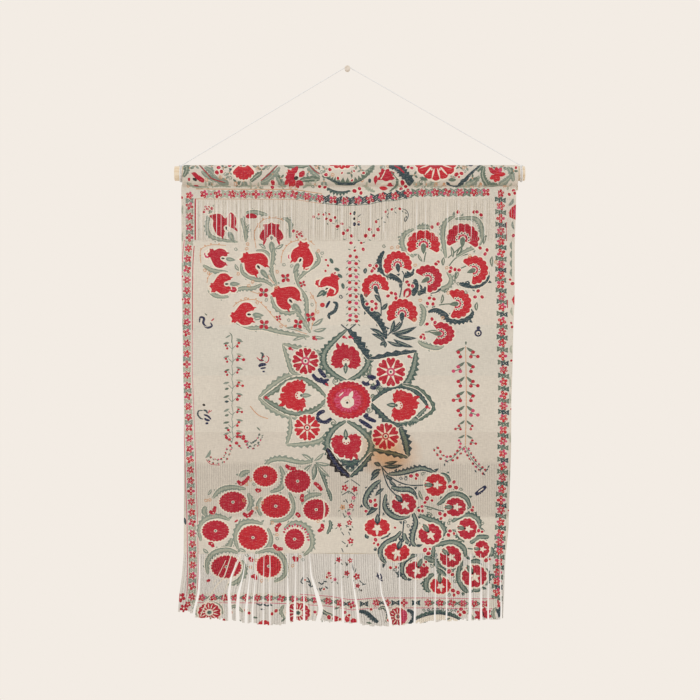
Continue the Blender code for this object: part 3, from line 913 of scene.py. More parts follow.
        seen.leaf("scarlet" if angle > -60 else "crimson", 495.6, 176, length, 4.6, angle)
    seen.oval("rose", 499.4, 171.4, 1.6, 2.4, count=9)
    berries(seen, SLEEVE_BERRIES)
    for ink, outline in seen:
        art.append((ink, [(x, seen_row(y) if y < SLEEVE_FOOT else y) for x, y in outline]))
    behind = 148.0
    while behind > 128.0:
        for number in range(12):
            x = 200 + 27 * number + (13 if round(behind) % 2 else 0)
            floret(art, x, behind, 4.5, 5, 10 * number, "crimson" if number % 2 else "scarlet")
            art.leaf("sage", x + 6, behind + 1, 9, 3, -10 + 20 * (number % 2))
            art.leaf("sage", x - 6, behind - 1, 9, 3, 170)
        behind -= 11.0


def draw_outer_margin(art):
    """Narrow margins outside the two upright bands, where the pattern is cut off."""
    berries(
        art,
        (
            (513.5, 190.6, 1.8), (509.2, 194.4, 1.8), (514.6, 193.2, 1.8), (513.2, 235.6, 2.0),
            (512.4, 283.6, 2.2), (510.0, 279.6, 1.4), (511.2, 323.0, 1.4), (512.0, 327.0, 1.6),
            (511.2, 360.6, 1.4), (511.0, 409.0, 1.0), (508.4, 510.4, 1.0), (182.0, 197.6, 1.4),
            (182.4, 276.6, 1.2), (182.6, 299.4, 1.2),
        ),
    )
    art.leaf("sage", 508.4, 206, 9.0, 3.4, -56, bend=0.1)
    art.append((
        "scarlet", [(516.8, 203.6), (511.4, 207.6), (508.6, 212.4), (509.6, 217.4), (516.8, 220.4)],
    ))
    art.oval("rose", 514.6, 212, 1.0, 4.6, count=9)
    art.leaf("sage", 512.6, 221, 9.0, 2.6, 80, bend=0.1)
    for y in (241, 250, 259, 268, 307, 345):
        art.leaf("mist" if y > 300 else "sage", 511.4 + (y % 3) * 0.5, y, 9.0, 2.4, 84 + y % 9, bend=0.12)
    art.append(("scarlet", [(514.4, 295), (511.6, 299.6), (514.4, 306)]))
    for y in (376, 392, 432, 470):
        art.leaf("mist", 509.8, y, 12.0, 1.6, 88)
    for y in (205, 232, 262, 318, 352):
        art.leaf("mist", 182.4, y, 10.0, 2.0, 90)
    art.leaf("slate", 184.6, 517, 8.0, 2.6, 80)


TOP_LEFT_BLOOMS = (
    (225.0, 225.0, 12.0, 62, "tulip", 1, "crimson"), (271.5, 234.0, 11.6, 90, "fan", 1, "crimson"),
    (220.0, 258.0, 9.2, 8, "comma", -1, "crimson"), (256.0, 264.0, 11.6, 50, "comma", 1, "scarlet"),
    (302.0, 257.0, 11.0, 118, "comma", 1, "scarlet"), (223.5, 284.0, 9.8, 0, "comma", 1, "scarlet"),
    (288.0, 298.0, 12.0, 48, "comma", 1, "scarlet"), (245.5, 314.2, 10.8, 4, "comma", 1, "scarlet"),
    (329.5, 286.3, 9.8, 140, "comma", 1, "scarlet"),
)
# Separate lobes of those blooms: place, half sizes, turn and ink.
TOP_LEFT_LOBES = (
    (208.6, 254.6, 4.6, 4.0, -20, "rose"), (209.6, 252.6, 3.4, 2.2, -30, "crimson"),
    (213.4, 288.2, 4.4, 3.6, 30, "crimson"), (233.4, 289.6, 3.6, 3.0, -20, "crimson"),
    (319.4, 283.0, 4.4, 3.6, 10, "scarlet"), (291.4, 256.6, 3.8, 3.0, 60, "rose"),
    (305.6, 249.0, 5.0, 3.4, 30, "scarlet"), (306.4, 267.6, 3.0, 2.4, 0, "scarlet"),
    (222.0, 264.6, 3.6, 2.6, 0, "crimson"),
)
TOP_LEFT_VINES = (
    ((310.5, 333), (304.7, 323), (298, 313), (291, 305)),
    ((299, 287), (306, 298), (307, 312), (308, 326)),
    ((296.3, 266), (296.3, 276.7), (299.7, 288)),
    ((316, 251.7), (318.8, 261.7), (306, 271.7), (298, 280)),
    ((241, 263.3), (243, 273.3), (254.7, 279.5), (264.7, 281), (273.8, 287)),
    ((256, 250.5), (266, 252), (271.5, 261.7), (272, 273), (277, 285)),
    ((273, 243), (273, 256.7), (271.3, 268)),
    ((214, 205), (208, 220), (208, 232), (216, 238.5), (238, 242)),
    ((241, 218), (245, 230), (246, 242)),
    ((246, 212.5), (256, 212), (268, 215)),
    ((283, 218), (290, 223), (290, 238)),
    ((203, 265), (213, 270.5), (228, 272)),
    ((208, 290), (216, 296), (229, 297)),
    ((233, 293), (241, 288.5), (253, 288), (262, 284)),
    ((236, 323), (249.7, 328), (263, 328), (278, 331.7), (296, 335), (309.7, 336.7)),
    ((271, 296), (276, 308), (288, 313), (297, 311)),
)
TOP_LEFT_ARCS = (
    ((256, 248), (254.7, 231.7), (263, 220), (276, 218), (286, 221.7)),
    ((281, 263), (283, 251.7), (291, 242.5), (306, 240), (314.7, 245)),
    ((201, 263), (201, 250), (211, 245), (226, 245.5)),
    ((207, 283), (209.7, 275), (219.7, 271)),
    ((233, 306.7), (241, 301), (256, 300), (266, 308), (274.7, 318), (286, 326.7), (307, 334)),
    ((232, 284), (250, 291), (266, 296)),
    ((262, 270), (276, 285), (286, 290)),
    ((310, 292), (316, 304), (314, 318), (311, 330)),
)
TOP_LEFT_FLORETS = (
    (285.5, 278, 5.2), (263.6, 292.5, 5.6), (264, 324.5, 5.6), (298, 324, 5.4), (310.6, 317, 5.4),
    (302.6, 284, 3.6), (278.5, 318, 3.2), (207, 208.5, 3.4), (299, 234, 4.0), (314, 337.5, 2.2),
)
TOP_LEFT_LEAVES = (
    (266, 249, 9, 3.4, 215), (275, 249, 10, 3.6, -30), (250, 224, 8, 3, 120), (235, 264, 8, 3.4, 60),
    (312, 326, 14, 4.4, -35), (313, 331, 14, 4, -12), (312, 336, 13, 3.6, 10), (306, 337, 14, 3.6, 165),
    (303, 331, 18, 3.6, 190), (309, 328, 12, 3.4, -110), (262, 318, 10, 4, 170), (244, 216, 6, 3, 90),
)
TOP_RIGHT_CARNATIONS = (
    (423.5, 241.7, 14.4, -90, 0.9, 0), (463.0, 235.6, 14.2, -86, 0.95, 1),
    (397.2, 262.3, 12.4, -98, 1.0, 0), (374.6, 284.8, 11.8, -106, 1.0, 0),
    (402.2, 311.0, 13.4, -88, 1.0, 0), (430.4, 277.2, 12.6, -30, 0.95, 1),
    (476.6, 268.9, 12.4, -22, 1.0, 0), (459.9, 303.6, 12.7, -4, 1.0, 0), (443.0, 333.6, 12.6, 0, 0.8, 1),
)
TOP_RIGHT_DARK = (
    ((361, 294), (364, 305), (371, 313), (378, 320), (384, 330), (386, 339)),
    ((384, 251), (380, 259), (380, 268), (387, 274), (396, 278), (402, 283)),
    ((404, 277), (410, 274), (415, 270)), ((415, 279), (416, 287), (413, 296)),
    ((459, 283.5), (467, 285.5), (477, 285.5), (485, 281), (489, 275)),
    ((428, 312), (436, 310), (444, 314), (450, 319.5), (461, 320.5), (470, 317), (473, 311)),
    ((418, 295), (424, 291), (433, 291), (441, 289)),
)
TOP_RIGHT_PALE = (
    ((446, 258), (444, 245), (443, 232), (446, 222), (455, 216)),
    ((455, 219), (466, 218), (476, 219), (481, 226), (482, 236), (478, 245), (466, 251), (456, 257)),
    ((447, 272), (451, 279), (448, 286), (436, 290), (420, 291)),
    ((414, 229), (405, 234), (402, 242), (405, 250), (414, 257)), ((416, 227.5), (424, 227), (430, 227.5)),
    ((420, 304), (424, 310), (423, 320), (420, 326)), ((418, 341), (424, 345), (436, 348), (444, 346)),
)
TOP_RIGHT_STEMS = (
    ((381, 316), (381, 304), (378, 292)), ((402, 283), (401, 291), (399, 300)),
    ((386, 338), (392, 330), (400, 322)), ((403, 282), (404, 275), (402, 271)),
    ((424, 262), (425, 256), (426, 252)), ((455, 283), (456, 272), (466, 266)),
    ((448, 258), (455, 252), (462, 246)), ((439, 305), (447, 304), (452, 304)),
    ((425, 332), (432, 332), (438, 333)), ((449, 266), (456, 258), (468, 254)),
)
TOP_RIGHT_LEAVES = (
    (386, 338, 19, 4.2, -149), (386, 342, 17, 3.8, -150), (386, 342, 7, 4.0, 150), (386, 342, 6, 3.6, 100),
    (390, 334, 15, 4.2, -74), (391, 333, 17, 4.0, -44), (391, 334, 27, 5.0, -16), (394, 335, 23, 4.4, 8),
    (393, 339, 22, 4.4, 22), (387, 341, 18, 3.8, 17), (381, 303, 11, 4.4, -128), (381, 310, 9.5, 4.4, -47),
    (381, 316, 8, 3.4, -150), (366, 268, 6, 4.0, 100), (444, 257, 9, 3.6, 96), (441, 304, 10, 3.2, -80),
    (477, 302, 9, 3.8, 95), (449, 288, 7, 2.8, 135), (459, 271, 9, 3.0, 110), (453, 258, 12, 3.4, -100),
    (456, 256, 12, 4.4, -60), (492, 256, 11, 3.6, 90), (486, 235, 10, 3.2, 105), (418, 254, 9, 2.8, 60),
    (428, 331, 11, 3.8, 2),
)
TOP_RIGHT_BERRIES = (
    (370, 265.5), (374, 268.5), (376.5, 266), (372, 271), (388, 296), (391.5, 293), (395.5, 294),
    (396, 298), (367, 304), (372, 301.5), (376, 304), (372, 309.5), (376, 308), (407, 282), (409, 285),
    (412.5, 286), (458, 212), (474, 212), (477, 212), (481, 215), (432, 227), (438, 224), (438, 262),
    (436, 264), (451, 268), (455, 269.5), (450, 271.5), (459, 270), (480, 248), (487, 250), (485, 254),
    (429.5, 298), (434, 299), (427.5, 303.5), (433, 304), (478, 291), (475, 297), (482, 297), (432, 319),
    (435, 322.5), (427, 324), (423, 335), (424, 338), (421, 337),
)
LOW_LEFT_ROSETTES = (
    (265.2, 476.2, 12.6, 10.6), (297.6, 481.2, 13.3, 11.9), (233.0, 502.0, 14.0, 10.8),
    (275.7, 506.2, 15.0, 12.0), (316.2, 509.6, 13.2, 10.9), (215.7, 530.6, 13.8, 10.7),
    (253.0, 537.6, 15.0, 12.6), (294.6, 539.2, 10.2, 10.8), (226.4, 566.6, 15.4, 11.6),
    (268.6, 566.2, 13.0, 11.6),
)
LOW_LEFT_CRESCENTS = (
    ((237.5, 480.5), (241, 484), (246, 481), (249, 476)), ((285.5, 465), (290, 468), (296, 468.5)),
    ((314, 482.5), (318, 486), (322, 490.5)), ((303, 494), (302, 498), (303, 502)),
    ((209.5, 511), (213.5, 512.5), (215.5, 506)), ((243, 513), (248, 515.5), (253, 510)),
    ((295.5, 513.5), (298, 515), (299.5, 517.5)), ((281, 523.5), (277, 527.5), (277, 532)),
    ((322, 523.5), (322, 528), (318, 531.5)), ((208.5, 543), (212, 543.5), (213.5, 547)),
    ((273.5, 544.5), (277, 549), (283, 549)), ((293, 556.5), (296, 560), (297, 557)),
    ((248.5, 558), (251, 559.5), (251, 562)), ((251, 577), (255, 576), (256, 580)),
    ((256, 488.5), (258, 491), (261, 489.5)), ((236, 520), (237, 521.5)), ((208, 579), (209, 581.5)),
)
LOW_LEFT_VINES = (
    ((264, 468), (270, 461), (282, 459), (300, 462.5), (313, 461.5)),
    ((280, 466), (284, 477), (281, 488), (270, 492)), ((250, 471), (243, 473), (240, 477)),
    ((213, 498), (220, 490), (232, 487), (246, 489)), ((248, 493), (251, 503), (247, 511)),
    ((289, 492), (293, 502), (292, 513), (283, 520), (270, 521)), ((262, 497), (258, 506), (261, 516)),
    ((303, 505), (304, 500), (311, 495), (322, 494)),
    ((201, 541), (200, 528), (206, 519), (218, 516), (230, 520)), ((232, 538), (229, 546), (221, 550)),
    ((238, 549), (235.5, 537), (240, 525), (250, 521.5), (263, 524)),
    ((268, 528), (271, 540), (266, 550), (255, 553)),
    ((284, 529), (294, 523), (306, 527), (312, 538), (311, 548), (303, 556)),
    ((208, 574), (207.5, 561), (215, 552), (228, 549.5), (238, 553)),
    ((242, 560), (244.5, 571), (239, 580), (228, 585)),
    ((257, 553), (270, 550), (281, 555), (286, 566), (284, 576), (274, 582)),
    ((206, 506), (204, 511), (206, 515)),
)
LOW_LEFT_DARK = (
    ((316, 463), (321, 472), (325, 482), (327, 489)), ((326.5, 487), (330, 494), (331.5, 501)),
    ((329.5, 520), (330.5, 526), (327, 534)), ((315, 464), (315.5, 472), (313, 480)),
)
LOW_LEFT_LEAVES = (
    (315, 462, 16, 4, 10), (316, 463, 20, 4.4, 45), (315, 464, 14, 4, 95), (314, 461, 13, 3.6, -40),
    (313, 462, 14, 3.8, 215), (312, 464, 17, 4, 130), (306, 486, 9, 3.4, 60), (208, 495, 7, 3, -60),
    (322, 515, 8, 3, 70), (246, 552, 9, 3.4, 200), (203, 548, 8, 3.4, 40),
)
LOW_RIGHT_BLOOMS = (
    (435.6, 485.0, 11.4, 1.0, 180, "scarlet"), (404.0, 504.0, 12.6, 0.86, 228, "crimson"),
    (455.4, 507.0, 10.8, 0.88, 178, "crimson"), (377.2, 527.0, 13.0, 0.74, 272, "scarlet"),
    (430.0, 534.2, 12.0, 0.9, 236, "crimson"), (467.3, 528.6, 10.0, 1.08, 186, "crimson"),
    (397.0, 552.0, 13.0, 0.72, 290, "scarlet"), (450.6, 556.5, 11.0, 1.0, 220, "crimson"),
    (481.6, 549.0, 7.8, 1.15, 184, "crimson"), (417.2, 570.0, 12.0, 0.74, 292, "crimson"),
    (474.2, 575.8, 12.8, 0.9, 236, "crimson"), (440.6, 585.6, 10.8, 0.8, 262, "scarlet"),
)
LOW_RIGHT_VINES = (
    ((388, 474), (398, 473.5), (410, 471), (422, 468.5), (436, 473)),
    ((440, 474), (446, 476.5), (450, 482)), ((381, 480), (374, 485), (367, 494), (365, 503), (370, 509)),
    ((391, 487), (400, 489), (410, 489.5), (416, 495)),
    ((386, 494), (384.5, 506), (390, 514), (399, 518), (410, 516)),
    ((437, 505), (444, 500), (451, 494.5), (460, 494.5), (467, 499), (470.5, 508)),
    ((419, 515), (428, 519), (438, 523), (444, 530), (441, 538)),
    ((412, 511), (416, 522), (413, 533), (412.5, 542), (416, 546)),
    ((401, 531), (396, 537), (387, 542), (380.5, 549), (381, 557), (386, 563)),
    ((404, 533), (405, 539), (409, 543)),
    ((452, 522), (460, 516.5), (470, 515.5), (478, 520), (479.5, 529)),
    ((434, 546), (444, 543), (455, 542.5), (464, 548), (465.5, 557)),
    ((434, 546), (433, 556), (437, 565), (444, 570.5), (454, 570.5)),
    ((470, 543), (478, 537.5), (489, 536.5)), ((490.5, 547), (491.5, 552), (490, 556)),
    ((417, 555), (409, 557.5), (403, 563), (402, 573), (407, 580)),
    ((462, 560), (459, 570), (459, 580), (464, 589), (468, 592)),
    ((434, 574), (427.5, 579), (426, 587), (430, 592)), ((485, 568), (487.5, 577), (485, 585)),
    ((470, 563), (475, 561), (481, 562)), ((473, 590), (478, 589), (481, 586)),
    ((437, 569), (442, 573), (446, 577)), ((424, 557), (430, 560), (435, 561)),
    ((453, 531), (459, 535), (465, 537)),
)
LOW_RIGHT_STEMS = (
    ((381, 466), (392, 478), (408, 485), (426, 485)), ((382, 468), (388, 486), (398, 497)),
    ((414, 510), (424, 506), (442, 511), (448, 509)), ((380, 480), (380, 500), (379, 520)),
    ((404, 512), (403, 530), (400, 546)), ((414, 516), (420, 524)), ((440, 530), (454, 530), (460, 529)),
    ((435, 545), (436, 560), (441, 577)), ((452, 545), (466, 548), (474, 549)),
)
LOW_RIGHT_BERRIES = (
    (411, 476, 2.2), (417, 475, 2.2), (416, 478.5, 1.6), (454, 482, 2.0), (450, 486.5, 2.2),
    (456, 487.5, 2.4), (370.5, 501, 2.2), (375, 500, 1.8), (375.5, 505, 2.4), (422, 506.5, 1.8),
    (419, 510.5, 2.0), (422.5, 511, 1.8), (427, 498.5, 2.6), (425, 502.5, 1.8), (432, 500.5, 1.6),
    (440, 513.5, 2.2), (445, 515, 2.2), (441, 518.5, 1.8), (450, 531, 2.0), (448.5, 535, 2.2),
    (454, 533.5, 1.6), (425, 550, 2.6), (428.5, 553.5, 2.4), (430, 549, 1.4), (375.5, 539.5, 2.2),
    (378, 544.5, 1.8), (374, 543, 1.4), (366, 511, 1.8), (390.5, 567.5, 1.8), (396, 567, 1.4),
    (449, 571.5, 2.6), (452.5, 574.5, 2.0), (453, 590.5, 2.4), (458, 592.5, 2.2), (454, 595, 1.8),
    (486, 560, 2.4), (489.5, 559, 1.4), (472, 510, 2.0), (473, 507, 1.4), (478.5, 530.5, 2.0),
    (482, 531.5, 1.6), (395, 527.5, 1.4), (424, 565, 1.8), (426, 562, 1.4),
)
LOW_RIGHT_LEAVES = (
    (381, 466, 8, 4.6, -155), (382, 466, 21, 4.4, -3), (384, 463, 14, 3.6, -8), (381, 469, 12, 4.4, 148),
    (380, 472, 13, 4.4, 138), (385, 474, 10, 3.8, 40), (389, 480, 10, 3.8, 40), (384, 488, 12, 3.8, 138),
    (378, 508, 14, 4.4, 148), (391, 533, 12, 4.2, 150), (366, 533, 6, 4.4, 70), (413, 491, 10, 3.4, 60),
    (419, 490, 11, 3.4, 70), (426, 508, 8, 3.0, 0), (427, 512, 7, 3.0, 30), (395, 572, 9, 3.4, 15),
    (456, 540, 8, 3.4, 0), (450, 484, 4, 2.4, 60),
)


# Curls round the bushes.
TOP_LEFT_SPOTS = (
    (236, 249), (248, 244), (247, 249), (284, 265), (277, 272), (318, 251), (322, 253), (205, 270),
    (209, 273), (292, 266), (249, 286), (257, 303), (266, 300), (276, 287), (312, 297), (289, 320),
    (253, 282), (246, 299), (312, 305), (238, 274), (281, 326), (249, 230), (259, 226), (318, 312),
)
TOP_RIGHT_SPOTS = (
    (384, 246), (398, 247), (392, 248), (366, 296), (448, 293), (420, 300), (466, 292), (470, 256),
    (443, 318), (458, 284), (414, 320), (415, 265), (419, 292), (496, 262), (447, 268), (388, 276),
)
LOW_LEFT_SPOTS = (
    (254, 484), (247, 484), (251, 480), (277, 535), (277, 539), (272, 523), (318, 521), (256, 560),
    (247, 555), (251, 567), (293, 566), (300, 557), (303, 560), (262, 503), (256, 508), (206, 500),
    (290, 494), (244, 500), (262, 581), (210, 500),
)
LOW_RIGHT_SPOTS = (
    (401, 478), (406, 478.5), (423, 474), (405, 522), (408, 526), (375, 549), (450, 520), (461, 489),
    (449, 523), (399, 574), (395, 570), (463, 594), (449, 595), (482, 523), (432, 566), (455, 581),
)


def vine(art, points, width, fill, rim, side=1, teeth=0.42):
    """Leafy band: pale edge, toothed rim, lighter middle."""
    art.ribbon("cream", points, width * 1.15 + 2.0)
    art.ribbon(rim, points, width * 1.15, width * teeth, side)
    art.ribbon(rim, points, width * 0.9, width * teeth * 0.5, -side)
    art.ribbon(fill, points, width * 0.46, width * 0.16, side)


def vine_leaves(art, points, ink, length, step=4):
    """Small leaves along both sides of a vine."""
    path = through(points, 5)
    for index in range(2, len(path) - 2, step):
        (x0, y0), (x1, y1) = path[index - 1], path[index + 1]
        angle = math.degrees(math.atan2(y1 - y0, x1 - x0))
        side = 1 if index // step % 2 else -1
        art.leaf(ink, *path[index], length, length * 0.38, angle + 42 * side, bend=-0.12 * side)


def berries(art, places, ink="crimson"):
    """Scattered berries, some with a pink heart."""
    for number, place in enumerate(places):
        x, y, r = place if len(place) == 3 else (*place, 2.0)
        art.oval("cream", x, y, r + 0.6, r + 0.4)
        art.oval(ink, x, y, r, r * 0.84, 40 * number, 9)
        if number % 3 == 0:
            art.oval("rose", x + 0.3, y, r * 0.4, count=7)


def draw_bush(art, vines, inks, width, dark_inks=None, leaves=0.0):
    """Vines of one flower bush, each with its ink, teeth and leaves."""
    for number, points in enumerate(vines):
        fill, rim = inks
        if dark_inks and STRIP_SEAMS[1] < points[len(points) // 2][0] < STRIP_SEAMS[2]:
            fill, rim = dark_inks
        if leaves:
            vine_leaves(art, points, rim, leaves)
        vine(art, points, width, fill, rim, 1 if number % 2 else -1)


def draw_leaves(art, leaves, ink, dark_ink):
    """Single leaves of a bush."""
    for x, y, length, width, angle in leaves:
        colour = strip_ink(x, ink, dark_ink)
        art.leaf(colour, x, y, length, width, angle, bend=0.06)
        start = polar(x, y, length * 0.15, angle)
        art.leaf(
            "cream" if colour != "slate" else "sage", *start, length * 0.65, width * 0.2, angle, bend=0.06,
        )


def draw_top_left(art):
    """The upper left flower bush."""
    for points in TOP_LEFT_ARCS:
        art.line("ochre", points, 0.7)
        for place in through(points, 2)[1:-1]:
            art.oval("ochre", place[0], place[1] - 1.1, 0.8, count=7)
    draw_bush(art, TOP_LEFT_VINES, ("mist", "sage"), 3.5, None, 5.6)
    draw_leaves(art, TOP_LEFT_LEAVES, "sage", "teal")
    for x, y, rx, ry, turn, ink in TOP_LEFT_LOBES:
        art.oval("cream", x, y, rx + 1.3, ry + 1.3, turn)
        art.scallops(ink, x, y, rx, ry, 6, 0.14, turn)
        art.leaf("rose", *polar(x, y, rx * 0.5, turn + 180), rx, ry * 0.4, turn)
    for place in TOP_LEFT_BLOOMS:
        bloom(art, *place)
    art.ribbon("cream", ((321, 288), (329, 287), (335, 290), (334, 294)), 1.8)
    for x in (228.4, 230.6):
        art.line("cream", ((x, 214), (x, 222), (x - 0.5, 230)), 1.1)
    for x, y, r in TOP_LEFT_FLORETS:
        floret(art, x, y, r, 4, 25 + x % 30, "crimson", "sage")
    for number, (x, y) in enumerate(TOP_LEFT_SPOTS):
        curl(art, x, y, 2.0, "ochre" if number % 3 else "sage", 50 * number, 0.7)
    art.ribbon("crimson", ((246, 217), (251, 215.6), (257, 217)), 4.6, 0.8)
    berries(
        art,
        (
            (204, 212, 1.4), (207.5, 209, 1.6), (212, 208.5, 1.8), (293.5, 231, 1.8), (300, 234, 2.2),
            (302, 236, 1.6), (297, 237, 1.4),
        ),
    )
    for x, y, turn in ((331.5, 261, 60), (337, 269.5, 25), (340, 276, 40), (343, 286, 75)):
        art.oval("teal", x, y, 3.0, 1.7, turn, 10)
    berries(art, ((326, 260, 1.4), (328, 265.5, 1.4), (325.5, 271, 1.4), (335, 273, 1.2)))
    curl(art, 341, 296.5, 2.2, "slate", 0, 0.9)
    art.oval("scarlet", 322.5, 305, 2.6, 2.4, count=9)
    art.ribbon("navy", ((326, 308), (328, 304), (330, 301)), 2.6)
    art.ribbon("slate", ((333, 302), (337, 304), (335, 311), (329, 315), (330, 319)), 3.2, 0.8)
    art.leaf("teal", 327, 291, 7, 3.0, 130)


def draw_top_right(art):
    """The upper right flower bush."""
    for points in TOP_RIGHT_STEMS:
        art.line(strip_ink(points[1][0], "moss", "slate"), points, 1.2)
    draw_bush(art, TOP_RIGHT_PALE, ("mist", "sage"), 4.2, None, 7.0)
    draw_bush(art, TOP_RIGHT_DARK, ("slate", "slate"), 4.8, None, 8.2)
    draw_leaves(art, TOP_RIGHT_LEAVES, "moss", "slate")
    for x, y, r, away, squash, seed in TOP_RIGHT_CARNATIONS:
        carnation(art, x, y, r, away, squash, seed)
    berries(art, TOP_RIGHT_BERRIES)
    for number, (x, y) in enumerate(TOP_RIGHT_SPOTS):
        curl(art, x, y, 2.0, "ochre" if number % 3 else "moss", 60 * number, 0.7)
    art.ribbon("crimson", ((404, 297), (405, 291), (409, 289.5), (410, 294), (406, 297.5)), 2.6, 0.4)
    art.oval("cream", 407.3, 294, 1.1, 1.6)


def draw_low_left(art):
    """The lower left flower bush."""
    draw_bush(art, LOW_LEFT_VINES, ("mist", "sage"), 4.3, None, 6.4)
    draw_bush(art, LOW_LEFT_DARK, ("sage", "teal"), 3.0)
    draw_leaves(art, LOW_LEFT_LEAVES, "sage", "teal")
    for seed, (x, y, rx, ry) in enumerate(LOW_LEFT_ROSETTES):
        round_rosette(art, x, y, rx, ry, seed)
    art.line("cream", ((323.5, 500), (324.6, 509), (323.5, 519)), 1.5)
    for ragged in range(14):
        angle = -150 + 12 * ragged
        art.oval(
            "rose" if ragged % 3 else "crimson", *polar(295, 538.5, 12.6 + ragged % 2, angle), 1.5, 1.0,
            angle, 7,
        )
    for number, points in enumerate(LOW_LEFT_CRESCENTS):
        art.ribbon("cream", points, 4.2)
        art.ribbon("crimson", points, 3.6, 1.0, 1 if number % 2 else -1, 0.6)
        if len(points) > 2:
            art.oval("cream", *points[1], 0.6, count=6)
    for number, (x, y) in enumerate(LOW_LEFT_SPOTS):
        curl(art, x, y, 2.0, "ochre" if number % 4 else "sage", 45 * number, 0.7)


def draw_low_right(art):
    """The lower right flower bush."""
    for points in LOW_RIGHT_STEMS:
        art.line(strip_ink(points[1][0], "teal", "slate"), points, 1.3)
    draw_bush(art, LOW_RIGHT_VINES, ("sage", "teal"), 4.8, ("sage", "slate"), 8.0)
    draw_leaves(art, LOW_RIGHT_LEAVES, "moss", "slate")
    for place in LOW_RIGHT_BLOOMS:
        star_bloom(art, *place)
    berries(art, LOW_RIGHT_BERRIES)
    for number, (x, y) in enumerate(LOW_RIGHT_SPOTS):
        curl(art, x, y, 2.0, strip_ink(x, "moss", "slate"), 50 * number, 0.7)


# Frames of the star: path, width, fill, rim, side of the teeth.
STAR_FRAMES = (
    (((258.4, 397.7), (272, 385.5), (288, 375.5), (301, 374)), 2.6, "sage", "sage", -1),
    (((258.4, 397.7), (270, 408), (286, 415.5), (302, 418)), 2.6, "sage", "sage", 1),
    (((301, 374), (292, 372), (287, 358), (282.5, 343.8)), 2.4, "sage", "sage", 1),
    (((282.5, 343.8), (297, 347.5), (312, 351.5), (322, 352)), 2.4, "sage", "sage", -1),
    (((290, 417), (290.5, 430), (286.5, 445)), 2.4, "sage", "sage", 1),
    (((286.5, 445), (304, 444), (320, 440.5), (328, 431)), 2.8, "sage", "sage", 1),
    (((327, 398), (317, 387), (304, 379.5), (289, 381), (274, 391), (263, 398)), 3.0, "sage", "moss", -1),
    (((327, 398), (318, 408), (304, 413.5), (288, 412), (273, 404.5), (263, 398)), 3.0, "sage", "moss", 1),
    (((318, 353), (323, 362), (322, 372), (331, 378)), 2.0, "sage", "sage", 1),
    (((347, 381), (335, 375), (325, 365), (324.5, 353), (333, 342), (347, 329.5)), 3.6, "sage", "teal", -1),
    (((347, 381), (360, 374), (368, 363), (364, 351), (356, 341), (348, 331)), 3.6, "sage", "teal", 1),
    (((348, 329), (359, 343), (369.5, 359.5)), 3.6, "slate", "slate", -1),
    (((369, 359), (392, 354.5), (417, 351)), 2.4, "slate", "slate", -1),
    (((416, 352), (414, 366), (409, 379), (403, 385)), 3.8, "sage", "teal", -1),
    (((371, 366), (370, 376), (374, 386), (384, 390)), 1.8, "sage", "moss", 1),
    (
        ((370, 402.5), (383, 392), (397, 386), (411, 388.5), (421, 397), (428, 406.5)), 3.0, "teal",
        "slate", -1,
    ),
    (((370, 402.5), (380, 413), (391, 423), (404, 425)), 3.0, "teal", "slate", 1),
    (((404, 425), (414, 420), (421, 413), (427, 407)), 2.2, "sage", "teal", 1),
    (((402, 384), (420, 389.5), (433.5, 407), (424, 417), (409, 425)), 1.8, "moss", "teal", -1),
    (((399, 423), (410, 419), (418, 421)), 5.0, "sage", "teal", 1),
    (((400, 427), (405, 440), (408, 457)), 4.2, "moss", "slate", -1),
    (((408, 457.5), (392, 453), (371, 449)), 2.6, "moss", "slate", -1),
    (((371, 430), (371, 441), (372, 449)), 2.2, "moss", "teal", 1),
    (((346, 421), (334, 429), (327.5, 441), (331, 454), (341, 464), (350, 471)), 3.8, "sage", "teal", 1),
    (((347, 421), (361, 430), (371, 442), (368, 455), (359, 464), (350, 471)), 3.8, "sage", "teal", -1),
    (((327, 448), (337, 465), (350, 477)), 4.0, "navy", "black", 1),
    (((350, 477), (362, 466), (373, 452)), 2.6, "moss", "slate", 1),
    (((341, 459), (350, 464), (359, 459)), 4.0, "teal", "slate", 1),
)
STAR_NAVY = (
    ((312.5, 374), (316, 378.5), (322, 381), (329, 379.5)), ((318.5, 368.5), (322, 373), (326, 377.5)),
    ((320, 378), (324, 382), (328, 385)), ((362, 381.5), (366, 384), (370, 382), (373, 377)),
    ((376.5, 380), (378.5, 384.5), (374, 388), (370, 387)), ((367, 377), (371, 376.5), (376, 378)),
    ((317, 416), (320, 412.5), (325, 411)), ((317, 416), (319, 420), (323, 422)),
    ((322, 422), (327, 421.5), (331.5, 418)), ((359, 419.5), (366, 424), (372, 428)),
    ((363.5, 415), (369, 418.5), (376, 421.5)), ((367, 413), (366, 418)),
)


